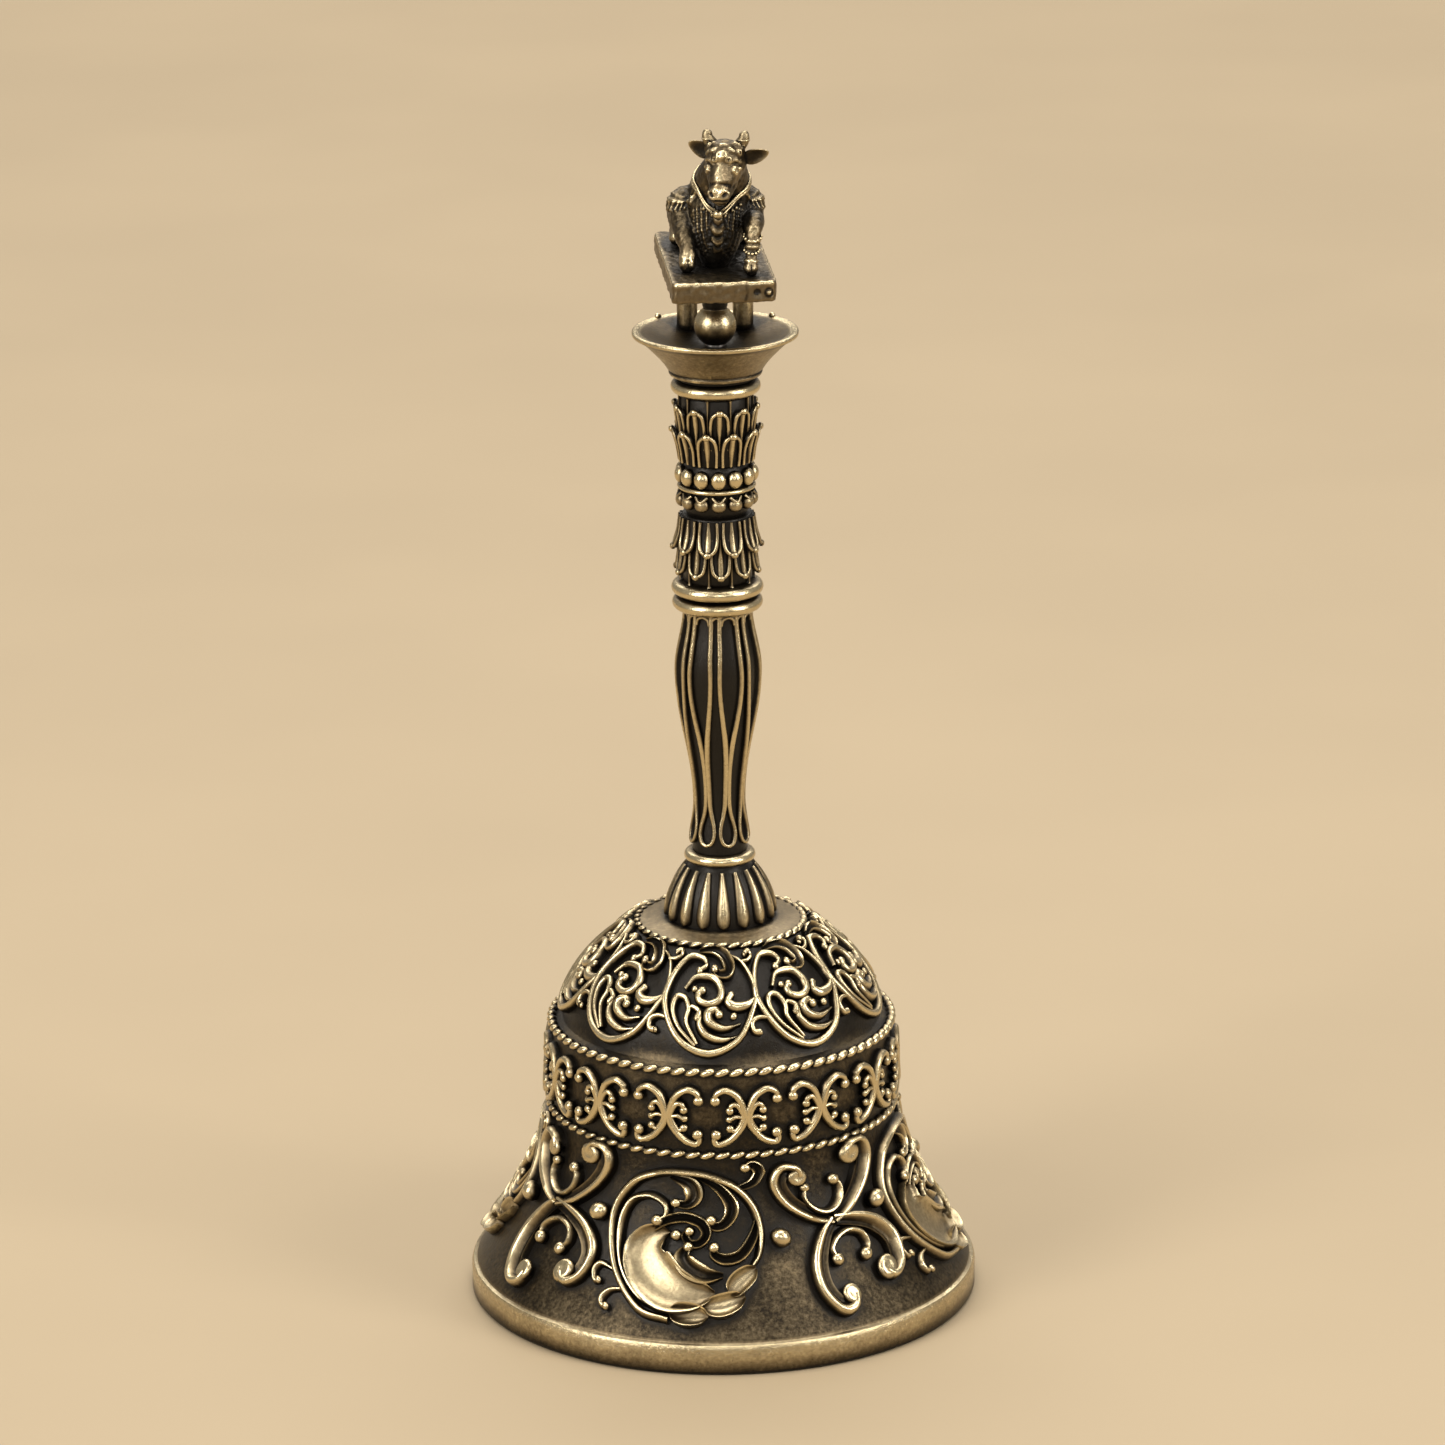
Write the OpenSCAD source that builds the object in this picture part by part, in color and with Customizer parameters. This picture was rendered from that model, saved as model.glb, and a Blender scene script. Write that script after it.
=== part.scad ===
// Brass puja hand bell: flared bell, stacked ornamental handle on a tie rod,
// reclining bull finial, and a clapper that hangs on an eye and a link.
// Millimetres. +Z is up along the bell's axis, the origin is the centre of the
// mouth's resting face, and -Y is the bull's front.

/* [Bell body] */
// Outer diameter of the mouth
mouth_d = 80; // [66:1:100]
// Height of the plain band round the mouth
rim_h = 4.8; // [3:0.1:7]
// Width of the flat face that the bell rests on
rim_land = 4; // [2.5:0.1:6]
// Outer diameter at the lower edge of the straight band
waist_d = 53.8; // [44:0.2:62]
// Outer diameter at the upper edge of the straight band
shoulder_d = 53; // [46:0.2:60]
// Height from the mouth to the straight band
skirt_h = 31.4; // [26:0.2:38]
// Height of the straight band
band_h = 13.2; // [11:0.2:17]
// Height of the dome above the straight band
dome_h = 15.6; // [13:0.2:19]
// Width of the sloping ledge round the dome's foot
ledge_w = 2; // [1.5:0.1:3]
// Wall thickness of the casting
wall = 2.2; // [1.6:0.1:3]

/* [Ornament] */
// Number of round medallions on the dome
dome_medallions_n = 9; // [6:1:12]
// Number of scroll motifs on the straight band
band_scrolls_n = 14; // [8:1:16]
// Number of round medallions on the skirt, with as many crossed scrolls
skirt_motifs_n = 4; // [3:1:5]
// How far the scrolls of the skirt stand out of the wall
skirt_relief = 1.7; // [0.8:0.1:2.2]
// How far the scrolls of the dome and the band stand out
upper_relief = 1; // [0.6:0.1:1.4]
// Diameter of the twisted wire round the shoulder and the waist
rope_d = 1.5; // [1:0.1:2]
// Diameter of the twisted wire round the crown plate
crown_rope_d = 1.1; // [0.8:0.1:1.5]

/* [Crown] */
// Diameter of the crown plate
crown_d = 26; // [22:0.5:28]
// Thickness of the crown plate
crown_t = 1.4; // [1:0.1:2.4]

/* [Handle] */
// Diameter of the stem foot on the crown plate
foot_d = 17; // [14:0.5:20]
// Height of the stem foot
foot_h = 9; // [7:0.5:12]
// Number of gadroons round the stem foot
foot_gadroons_n = 16; // [10:1:22]
// Outer diameter of the ring over the stem foot
neck_ring_d = 11.2; // [10:0.2:13]
// Thickness of the ring over the stem foot
neck_ring_t = 2; // [1.4:0.1:3]
// Length of the grip
grip_l = 39; // [34:1:56]
// Diameter at the swelling of the grip
grip_d = 13.4; // [11:0.2:16]
// Diameter at the narrowest place of the grip
grip_neck_d = 8.2; // [7.4:0.2:10]
// Number of forked ribs round the grip
grip_ribs_n = 8; // [5:1:9]
// Diameter of the collar rings
collar_d = 14.3; // [13:0.1:16]
// Height of one collar ring
collar_ring_h = 2.4; // [1.8:0.1:3]
// Diameter of the leaf sleeves' core
sleeve_d = 11; // [9:0.2:12]
// Length of each leaf sleeve
sleeve_l = 10.6; // [8:0.2:14]
// Number of leaves in a row of a sleeve
leaves_n = 10; // [6:1:12]
// Height of the bead collar between the sleeves
bead_collar_h = 8.4; // [7.6:0.2:11]
// Number of beads in a row
beads_n = 13; // [8:1:15]

/* [Capital and finial] */
// Diameter of the capital's lip
capital_d = 25.6; // [21:0.2:30]
// Height of the capital over its collar ring
capital_h = 7.6; // [6.8:0.2:10]
// Depth of the hollow in the capital's top
dish_depth = 2.4; // [1.5:0.1:3]
// Diameter of the round-ended finial post
post_d = 6.5; // [5.6:0.1:8]
// Clear height between the capital's lip and the plinth
post_clear_h = 8.2; // [5:0.2:12]
// Width of the plinth
plinth_w = 16; // [14:0.5:20]
// Length of the plinth
plinth_l = 35; // [33:0.5:44]
// Thickness of the plinth
plinth_t = 3.4; // [3.2:0.1:5]
// Turn of the plinth and the bull about the bell's axis
plinth_turn = 5; // [-90:1:90]

/* [Clapper] */
// Diameter of the tie rod through the handle
rod_d = 3.2; // [2.6:0.1:3.9]
// Wire diameter of the hanger eye
eye_wire_d = 2; // [1.4:0.1:2.4]
// Wire diameter of the link
link_wire_d = 1.6; // [1.2:0.1:2]
// Diameter of the clapper's ball
clapper_ball_d = 13; // [9:0.5:14]
// Height of the clapper's lowest point over the table
clapper_clear_h = 4; // [2.5:0.5:8]

/* [Hidden] */
$fn = 64;

brass = [0.62, 0.52, 0.34];
dark_brass = [0.34, 0.28, 0.19];
pale_brass = [0.76, 0.66, 0.46];
steel = [0.45, 0.44, 0.42];

run_clear = 0.1;     // play of the rod in the handle's bores
link_clear = 0.06;   // play between the rings of the clapper's chain
sink = 0.35;         // how deep soldered ornament is let into the wall
flare_power = 1.77;  // bend of the skirt's flare
rope_sit = 0.2;      // how far a rope's centre stands out of the wall
skirt_lean = cos(23.4);  // rise of the skirt for a length along it
front_turn = -11.5;  // where the front medallion of the skirt stands

// Heights of the bell
band_z = skirt_h;
shoulder_z = band_z + band_h;
crown_z = shoulder_z + dome_h;
dome_foot_r = shoulder_d / 2 - ledge_w;
dome_foot_z = shoulder_z + 1.8;
dome_top_r = crown_d / 2 + 0.4;
dome_slope = [dome_top_r - dome_foot_r, crown_z - dome_foot_z];
dome_out = [dome_slope.y, -dome_slope.x] / norm(dome_slope);
dome_swell = 1.5;    // how far the dome bulges over a straight slope

// Heights of the handle, each piece on the one below it
foot_z = crown_z + crown_t;
neck_ring_z = foot_z + foot_h;
grip_z = neck_ring_z + neck_ring_t;
lower_collar_z = grip_z + grip_l;
lower_sleeve_z = lower_collar_z + 2 * collar_ring_h;
bead_collar_z = lower_sleeve_z + sleeve_l;
upper_sleeve_z = bead_collar_z + bead_collar_h;
upper_collar_z = upper_sleeve_z + sleeve_l;
capital_z = upper_collar_z + collar_ring_h;
lip_z = capital_z + capital_h;
seat_z = lip_z - dish_depth;
plinth_z = lip_z + post_clear_h;
bull_z = plinth_z + plinth_t;

// Clapper, from the crown down
rod_r = rod_d / 2;
bore_r = rod_r + run_clear;
inner_crown_z = crown_z - wall - 0.8;
washer_t = 0.8;
nut_t = 2.6;
hub_h = 4;
hub_r = rod_r + 1.6;
hub_z = inner_crown_z - washer_t - nut_t - hub_h;
eye_r = 2.4 + eye_wire_d / 2;
eye_z = hub_z - eye_r + 0.3;
link_r = 2.2 + link_wire_d / 2;
link_pivot_z = eye_z - eye_r + eye_wire_d / 2 + link_clear + link_wire_d / 2;
link_z = link_pivot_z - link_r;
clapper_wire_d = 1.8;
clapper_eye_r = 1.7 + clapper_wire_d / 2;
clapper_pivot_z = link_z - link_r + link_wire_d / 2 + link_clear + clapper_wire_d / 2;
clapper_eye_z = clapper_pivot_z - clapper_eye_r;
tip_r = 2;           // the small button under the clapper's ball
tip_drop = 1.2;      // how far the button reaches below the ball
ball_z = clapper_clear_h + tip_drop + clapper_ball_d / 2;

// ---------- surfaces of the bell, as radius over height ----------

function skirt_r(z) = waist_d / 2
    + (mouth_d / 2 - 0.5 - waist_d / 2) * pow(max(0, 1 - (z - rim_h) / (band_z - rim_h)), flare_power);
function band_r(z) = waist_d / 2 + (shoulder_d - waist_d) / 2 * (z - band_z) / band_h;
// The dome's outline from its foot, t = 0, to the crown, t = 1, pushed out by h
function dome_at(t, h = 0) = [dome_foot_r, dome_foot_z] + t * dome_slope
    + (h + dome_swell * sin(180 * pow(t, 0.8))) * dome_out;
function foot_r(z) = let (t = (z - foot_z) / foot_h)
    neck_ring_d / 2 - 1 + (foot_d / 2 - neck_ring_d / 2 + 1) * pow(cos(90 * t), 0.75);

// The grip swells between a low neck and its top, with a cosine from each to the next
grip_top_d = 10.6;
grip_neck_z = grip_z + 0.2 * grip_l;
grip_swell_z = grip_z + 0.745 * grip_l;
function ease(t) = (1 - cos(180 * t)) / 2;
function between(a, b, t) = a + (b - a) * t;
function grip_r(z) = (z < grip_neck_z
    ? between(neck_ring_d * 0.88, grip_neck_d, ease((z - grip_z) / (grip_neck_z - grip_z)))
    : z < grip_swell_z
        ? between(grip_neck_d, grip_d, ease((z - grip_neck_z) / (grip_swell_z - grip_neck_z)))
        : between(grip_d, grip_top_d, ease((z - grip_swell_z) / (lower_collar_z - grip_swell_z)))) / 2;

// ---------- laying a flat pattern on a surface ----------

// A point at turn a from the front, at radius r and height z
function at(a, r, z) = [r * sin(a), -r * cos(a), z];
// u runs round the surface, v up along it, and h stands out of it
function lay(zone, a, u, v, h) =
    zone == "dome" ? let (p = dome_at(0.5 + v / norm(dome_slope), h))
        at(a + u / p.x * 180 / PI, p.x, p.y)
    : zone == "band" ? let (z = band_z + band_h / 2 + v, r = band_r(z) + h)
        at(a + u / r * 180 / PI, r, z)
    : zone == "skirt" ? let (z = (rim_h + band_z) / 2 - 0.4 + v * skirt_lean, r = skirt_r(z) + h)
        at(a + u / r * 180 / PI, r, z)
    : zone == "foot" ? let (z = foot_z + v, r = foot_r(z) + h)
        at(a + u / r * 180 / PI, r, z)
    : let (z = grip_z + v, r = grip_r(z) - 0.5 + h)
        at(a + u, r, z);

// A curl: part of a spiral whose radius goes from r0 to r1 between the turns a0 and a1
function curl(x, y, r0, r1, a0, a1, n) =
    [for (i = [0:n]) let (t = i / n, a = between(a0, a1, t), r = between(r0, r1, t))
        [x + r * cos(a), y + r * sin(a)]];
function flipped(path, sx, sy) = [for (p = path) [sx * p.x, sy * p.y]];
function shifted(path, dv) = [for (p = path) [p.x, p.y + dv]];

function heading(path, i) =
    let (d = path[min(i + 1, len(path) - 1)] - path[max(i - 1, 0)]) d / norm(d);
// Four corners round one point of a stroke: two feet in the wall and two on its ridge
function stroke_ring(zone, a, path, i, w, relief) =
    let (d = heading(path, i), n = [-d.y, d.x], p = path[i])
    [for (c = [[1, -sink], [0.45, relief], [-0.45, relief], [-1, -sink]])
        let (q = p + n * (c[0] * w / 2)) lay(zone, a, q.x, q.y, c[1])];

// A raised stroke along a flat path, thin at its start and full at its end
module stroke(zone, a, path, w, relief, start = 0.5) {
    last = len(path) - 1;
    points = [for (i = [0:last])
        let (s = between(start, 1, ease(i / last)))
        each stroke_ring(zone, a, path, i, w * s, relief * between(0.7, 1, s))];
    sides = [for (i = [0:last - 1], k = [0:3])
        let (p = 4 * i + k, q = 4 * i + (k + 1) % 4)
        each [[p, q + 4, q], [p, p + 4, q + 4]]];
    caps = [[0, 1, 2], [0, 2, 3], [4 * last, 4 * last + 2, 4 * last + 1], [4 * last, 4 * last + 3, 4 * last + 2]];
    polyhedron(points, concat(sides, caps), convexity = 6);
}

// A round end for a stroke: a small faceted knob on the surface
module knob(zone, a, p, r, sides = 5) {
    hull()
        translate(lay(zone, a, p.x, p.y, 0.3))
            sphere(r, $fn = sides);
}

// A stroke with a knob at its end
module scroll(zone, a, path, w, relief, knob_r, start = 0.5, knob_sides = 5) {
    stroke(zone, a, path, w, relief, start);
    knob(zone, a, path[len(path) - 1], knob_r, knob_sides);
}

// A revolved outline, given as radius and height
module turned(outline) {
    rotate_extrude() polygon(outline);
}

module ring(r, wire_r, z) {
    translate([0, 0, z]) rotate_extrude() translate([r, 0]) circle(wire_r);
}

module rod_bore(z0, z1, r = bore_r) {
    translate([0, 0, z0 - 1]) cylinder(r = r, h = z1 - z0 + 2);
}

// ---------- bell ----------

module bell_body() {
    steps = 14;
    lip_r = mouth_d / 2;
    skirt_out = [for (i = [0:steps]) let (z = between(rim_h, band_z, i / steps)) [skirt_r(z), z]];
    dome_outside = [for (i = [0:9]) dome_at(i / 10)];
    skirt_in = [for (i = [0:steps]) let (z = between(band_z, rim_h, i / steps)) [skirt_r(z) - wall, z]];
    dome_inside = [for (i = [10:-1:0]) let (p = dome_at(i / 10, -wall))
        if (p.y < inner_crown_z - 0.3 && p.y > shoulder_z - wall + 0.3) p];
    color(dark_brass)
    difference() {
        turned(concat(
            [[lip_r - rim_land, 0], [lip_r, 0], [lip_r, rim_h - 0.4]],
            skirt_out,
            [[shoulder_d / 2, shoulder_z], [dome_foot_r + 0.4, dome_foot_z - 0.8]],
            dome_outside,
            [[dome_top_r, crown_z], [0, crown_z], [0, inner_crown_z], [dome_inside[0].x - 1, inner_crown_z]],
            dome_inside,
            [[shoulder_d / 2 - wall, shoulder_z - wall]],
            skirt_in
        ));
        rod_bore(inner_crown_z, crown_z);
    }
}

module shoulder_rope() {
    color(pale_brass) ring(shoulder_d / 2 + rope_sit, rope_d / 2, shoulder_z + 0.2);
}

module waist_rope() {
    color(pale_brass) ring(waist_d / 2 + rope_sit, rope_d / 2, band_z);
}

module crown_rope() {
    color(pale_brass) ring(crown_d / 2, crown_rope_d / 2, crown_z + crown_rope_d / 2);
}

// A medallion of half width r, drawn out upwards by tall: an open ring, a spiral and a leaf inside it
module medallion(zone, a, r, w, relief, tall = 1) {
    ring = curl(0, 0, r, r * 0.94, 60, -250, 11);
    spiral = curl(-0.05 * r, 0.05 * r, r * 0.52, r * 0.1, -130, -560, 8);
    leaf = curl(0.3 * r, -0.35 * r, r * 0.42, r * 0.22, -60, 150, 4);
    scroll(zone, a, flipped(ring, 1, tall), w, relief, w * 0.5);
    scroll(zone, a, flipped(spiral, 1, tall), w * 0.85, relief, w * 0.5);
    scroll(zone, a, flipped(leaf, 1, tall), w * 0.85, relief, w * 0.5);
}

module dome_medallions() {
    stroke_w = 1;
    size = PI * dome_at(0.5).x / dome_medallions_n - 0.6 * stroke_w;
    tall = min(1.25, (norm(dome_slope) / 2 - stroke_w) / size);
    color(brass)
    for (i = [0:dome_medallions_n - 1])
        medallion("dome", -4.8 + i * 360 / dome_medallions_n, size, stroke_w, upper_relief, tall);
}

// Two C scrolls back to back, with a smaller pair inside them
module back_to_back(a, size) {
    for (sx = [-1, 1]) {
        for (sy = [-1, 1])
            scroll("band", a, flipped(curl(0.62 * size, 0.5 * size, 0.42 * size, 0.26 * size, -130, -300, 3), sx, sy),
                0.9, upper_relief, 0.6, 0.5, 4);
        stroke("band", a, flipped(curl(0.62 * size, 0, 0.34 * size, 0.3 * size, 110, 250, 2), sx, 1),
            0.7, upper_relief, 1);
    }
}

module band_scrolls() {
    size = min(5.4, PI * waist_d / band_scrolls_n / 2 - 0.5);
    color(brass)
    for (i = [0:band_scrolls_n - 1])
        back_to_back(7.9 + i * 360 / band_scrolls_n, size);
}

// The skirt's motifs shrink together where the skirt is too narrow or too low for them at full size
full_motif_w = 48;
full_motif_h = 26.6;
motif_size = min(1, 2 * PI * skirt_r((rim_h + band_z) / 2) / skirt_motifs_n / full_motif_w,
    (band_z - rim_h) / full_motif_h);

module skirt_medallions() {
    color(brass)
    for (i = [0:skirt_motifs_n - 1])
        medallion("skirt", front_turn + i * 360 / skirt_motifs_n, 11.4 * motif_size, 1.9, skirt_relief);
}

// Four arms that cross at cross_v and curl inwards, the lower pair longer, with a small curl in each fork
module crossed_scrolls(a) {
    s = motif_size;
    cross_v = 2.7 * s;
    for (sy = [-1.4, 0.94]) {
        for (sx = [-1, 1])
            scroll("skirt", a, shifted(flipped(curl(3.1 * s, 6.9 * s, 7.6 * s, 1.8 * s, -114, 150, 8), sx, sy), cross_v),
                1.9, skirt_relief, 1.3 * s, 0.6);
        stroke("skirt", a, shifted(flipped(curl(0, 5.6 * s, 2.6 * s, 2 * s, 190, 350, 5), 1, sy), cross_v),
            1.2, skirt_relief, 0.8);
    }
}

module skirt_crossed_scrolls() {
    color(brass)
    for (i = [0:skirt_motifs_n - 1])
        crossed_scrolls(front_turn + (i + 0.5) * 360 / skirt_motifs_n);
}

module skirt_studs() {
    stud_at = [9.2, 1.6] * motif_size;
    color(pale_brass)
    for (i = [0:skirt_motifs_n - 1], side = [-1, 1])
        translate(lay("skirt", front_turn + (i + 0.5) * 360 / skirt_motifs_n, side * stud_at.x, stud_at.y, 0.5))
            sphere(1.55 * motif_size);
}

// ---------- handle ----------

module crown_plate() {
    color(brass)
    difference() {
        turned([[0, crown_z], [crown_d / 2 - 0.1, crown_z], [crown_d / 2, crown_z + 0.5 * crown_t],
            [foot_d / 2 + 0.6, foot_z], [0, foot_z]]);
        rod_bore(crown_z, foot_z);
    }
}

module stem_foot() {
    steps = 8;
    gadroon = [for (i = [0:5]) [0, between(0.3, 0.82 * foot_h, i / 5)]];
    color(brass)
    difference() {
        union() {
            turned(concat([[0, foot_z]],
                [for (i = [0:steps - 1]) let (z = between(foot_z, foot_z + foot_h * 0.96, i / steps))
                    [foot_r(z) - 0.25, z]],
                [[neck_ring_d / 2 - 1, foot_z + foot_h], [0, foot_z + foot_h]]));
            for (i = [0:foot_gadroons_n - 1])
                stroke("foot", 3.5 + i * 360 / foot_gadroons_n, gadroon, 1.8, 0.2, 1);
        }
        rod_bore(foot_z, neck_ring_z);
    }
}

// A ring with a rounded edge, square where it meets its neighbours
module edge_ring(d, h, z) {
    difference() {
        turned([[0, z], [d / 2 - 0.36 * h, z], [d / 2 - 0.12 * h, z + 0.12 * h], [d / 2, z + 0.35 * h],
            [d / 2, z + 0.65 * h], [d / 2 - 0.12 * h, z + 0.88 * h], [d / 2 - 0.36 * h, z + h], [0, z + h]]);
        rod_bore(z, z + h);
    }
}

module neck_ring() {
    color(pale_brass) edge_ring(neck_ring_d, neck_ring_t, neck_ring_z);
}

// The ribs stand out of a dark core, joined in pairs up to the fork and spread above it
module grip() {
    steps = 18;
    fork = 0.5 * grip_l;
    spread = 116 / grip_ribs_n;
    rib_w = 7;
    color(brass)
    difference() {
        union() {
            turned(concat([[0, grip_z]],
                [for (i = [0:steps]) let (z = between(grip_z, lower_collar_z, i / steps)) [grip_r(z) - 0.5, z]],
                [[0, lower_collar_z]]));
            for (i = [0:grip_ribs_n - 1], side = [-1, 1])
                stroke("grip", 18 + i * 360 / grip_ribs_n,
                    [for (k = [0:9]) let (v = between(1.2, grip_l - 1.4, k / 9))
                        [side * (2.2 + spread * ease(max(0, (v - fork) / (grip_l - fork)))), v]],
                    rib_w, 0.5, 1);
        }
        rod_bore(grip_z, lower_collar_z);
    }
}

module lower_collar() {
    color(pale_brass) {
        edge_ring(collar_d - 0.2, collar_ring_h, lower_collar_z);
        edge_ring(collar_d, collar_ring_h, lower_collar_z + collar_ring_h);
    }
}

// A tongue-shaped leaf that leaves the sleeve's core near z0 and stands out at its tip at z1
module leaf(a, z0, z1) {
    leaf_w = 2.6;
    r = sleeve_d / 2;
    stations = [[0, 0.1, 0.75], [0.45, 0.25, 1], [0.8, 0.7, 0.85], [1, 1.1, 0.3]];
    points = [for (s = stations) let (z = between(z0, z1, s[0]), w = s[2] * leaf_w / r * 90 / PI)
        each [at(a - w, r - 0.6, z), at(a - w * 0.6, r + s[1], z), at(a + w * 0.6, r + s[1], z), at(a + w, r - 0.6, z)]];
    down = z1 < z0;
    sides = [for (i = [0:2], k = [0:3]) let (p = 4 * i + k, q = 4 * i + (k + 1) % 4)
        each [[p, q, q + 4], [p, q + 4, p + 4]]];
    faces = concat(sides, [[0, 2, 1], [0, 3, 2], [12, 13, 14], [12, 14, 15]]);
    polyhedron(points, [for (f = faces) down ? f : [f[2], f[1], f[0]]], convexity = 4);
}

// Two rows of leaves on a bored core, pointing up or down
module leaf_sleeve(z, up) {
    base = up ? z : z + sleeve_l;
    dir = up ? 1 : -1;
    difference() {
        union() {
            translate([0, 0, z]) cylinder(d = sleeve_d, h = sleeve_l);
            for (i = [0:leaves_n - 1]) {
                leaf(7.5 + i * 360 / leaves_n, base + dir * 0.28 * sleeve_l, base + dir * 0.84 * sleeve_l);
                leaf(7.5 + (i + 0.5) * 360 / leaves_n, base + dir * 0.04 * sleeve_l, base + dir * 0.46 * sleeve_l);
            }
        }
        rod_bore(z, z + sleeve_l);
    }
}

module lower_leaf_sleeve() {
    color(brass) leaf_sleeve(lower_sleeve_z, false);
}

module upper_leaf_sleeve() {
    color(brass) leaf_sleeve(upper_sleeve_z, true);
}

module bead_collar() {
    core_r = sleeve_d / 2 - 0.4;
    bead_r = min(bead_collar_h / 6.4, PI * core_r / beads_n - 0.03);
    mid_z = bead_collar_z + bead_collar_h / 2;
    color(pale_brass)
    difference() {
        union() {
            translate([0, 0, bead_collar_z]) cylinder(r = core_r, h = bead_collar_h);
            ring(core_r + 0.1, 0.8, mid_z);
            for (i = [0:beads_n - 1], side = [-1, 1])
                translate(at(3.2 + i * 360 / beads_n, core_r + 0.25, mid_z + side * 0.28 * bead_collar_h))
                    sphere(bead_r);
        }
        rod_bore(bead_collar_z, upper_sleeve_z);
    }
}

module upper_collar() {
    color(pale_brass) edge_ring(collar_d - 0.4, collar_ring_h, upper_collar_z);
}

// ---------- capital and finial ----------

module capital() {
    lip_r = capital_d / 2;
    low_r = collar_d / 2;
    flare_h = capital_h - 2;
    color(brass)
    difference() {
        turned(concat(
            [[0, capital_z], [low_r - 1, capital_z], [low_r - 0.9, capital_z + 0.5], [low_r, capital_z + 0.9],
                [low_r + 0.1, capital_z + 1.3]],
            [for (i = [1:6]) let (t = i / 7)
                [between(low_r + 0.2, lip_r, pow(t, 1.15)), between(capital_z + 1.4, capital_z + 1.4 + flare_h, t)]],
            [[lip_r, lip_z - 0.5], [lip_r - 0.2, lip_z], [lip_r - 1, lip_z],
                [0.6 * lip_r, lip_z - 0.55 * dish_depth], [post_d / 2, seat_z], [0, seat_z]]
        ));
        rod_bore(capital_z, seat_z);
    }
}

// Two small pins soldered on the back of the lip
module capital_pins() {
    color(pale_brass)
    for (a = [134, -134])
        translate(at(a, capital_d / 2 - 0.6, lip_z))
            sphere(0.5);
}

// A round-ended post that screws onto the tie rod like a cap nut and ends in a tenon for the plinth
post_bore_l = 5;
tenon_r = 1.5;
tenon_l = 2;
module finial_post() {
    r = post_d / 2;
    foot_flat = rod_r + 0.45;
    drop = sqrt(r * r - foot_flat * foot_flat);
    color(pale_brass)
    difference() {
        union() {
            translate([0, 0, seat_z + drop])
                rotate_extrude()
                    intersection() {
                        circle(r);
                        translate([0, -drop]) square([r, 2 * r]);
                    }
            translate([0, 0, seat_z + drop]) cylinder(r = r, h = plinth_z - seat_z - drop);
            translate([0, 0, plinth_z - 1]) cylinder(r = tenon_r, h = tenon_l + 1);
        }
        rod_bore(seat_z, seat_z + post_bore_l - 1, rod_r);
    }
}

// Two props behind the post that steady the plinth on the capital's hollow
module plinth_props() {
    prop_r = 1.6;
    prop_x = 4.3;
    prop_y = 7;
    prop_z = lip_z - 0.3 * dish_depth;
    color(brass)
    for (side = [-1, 1])
        translate([side * prop_x, prop_y, 0]) {
            translate([0, 0, prop_z]) cylinder(r = prop_r, h = plinth_z - prop_z);
            translate([0, 0, prop_z]) sphere(prop_r);
        }
}

module plinth() {
    corner_r = 1;
    color(brass)
    difference() {
        rotate([0, 0, plinth_turn]) translate([0, 0, plinth_z]) {
            translate([-plinth_w / 2, corner_r - plinth_l / 2, 0])
                cube([plinth_w, plinth_l - 2 * corner_r, plinth_t]);
            translate([corner_r - plinth_w / 2, -plinth_l / 2, 0])
                cube([plinth_w - 2 * corner_r, plinth_l, plinth_t]);
            for (x = [-1, 1], y = [-1, 1])
                translate([x * (plinth_w / 2 - corner_r), y * (plinth_l / 2 - corner_r), 0])
                    cylinder(r = corner_r, h = plinth_t);
        }
        translate([0, 0, plinth_z - 1]) cylinder(r = tenon_r, h = tenon_l + 1);
    }
}

// Places its children in the bull's own frame: plinth's top at z = 0, the head towards -Y
module on_plinth() {
    translate([0, 0, bull_z]) rotate([0, 0, plinth_turn]) children();
}

// A limb: the hull of two balls
module limb(p0, r0, p1, r1, sides = 13) {
    hull() {
        translate(p0) sphere(r0, $fn = sides);
        translate(p1) sphere(r1, $fn = sides);
    }
}

// Where the head is, and how it is turned to the bull's right and tilted
head_at = [1.4, -8.6, 14.6];
module head_frame() {
    translate(head_at) rotate([0, 8, -12]) children();
}

module bull() {
    color(brass)
    on_plinth()
    difference() {
        union() {
            limb([0, 9.5, 5], 6, [0, -2.5, 6.2], 5.8);
            limb([0, -3.5, 7.5], 5.2, [0.6, -5.6, 10], 4);
            limb([0, -0.5, 12], 2.6, [0, 0.8, 10], 4);
            limb([0.5, -5, 10], 4, [1.2, -7, 14], 3.1);
            limb([0.3, -8, 6.5], 2.3, [0.3, -6.5, 2], 2.4);
            for (side = [-1, 1]) {
                limb([side * 4.6, 9, 3.8], 3.6, [side * 5, 5, 1.8], 1.8);
                limb([side * 5, 5, 1.5], 1.5, [side * 5.4, 10.5, 1.3], 1.3);
                limb([side * 4.4, -4, 6], 2.8, [side * 5, -8.5, 3.6], 1.9);
            }
            limb([-5, -8.5, 3.6], 1.8, [-4.4, -12.4, 1.3], 1.3);
            limb([5, -8.5, 3.4], 1.8, [4.9, -14.6, 1.2], 1.2);
            limb([0, 15, 6.5], 1, [3.4, 15.6, 1.2], 0.9);
            head_frame() {
                limb([0, -0.4, 1.4], 3.1, [0, -4.4, -2.6], 2.1);
                limb([0, -5.3, -3.8], 1.95, [0, -4.4, -2.4], 2);
                for (side = [-1, 1])
                    limb([side * 3, 0.6, 1.8], 0.6, [side * 6, 0.2, 2.2], 1);
            }
        }
        translate([-20, -20, -20]) cube([40, 40, 20]);
    }
}

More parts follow.
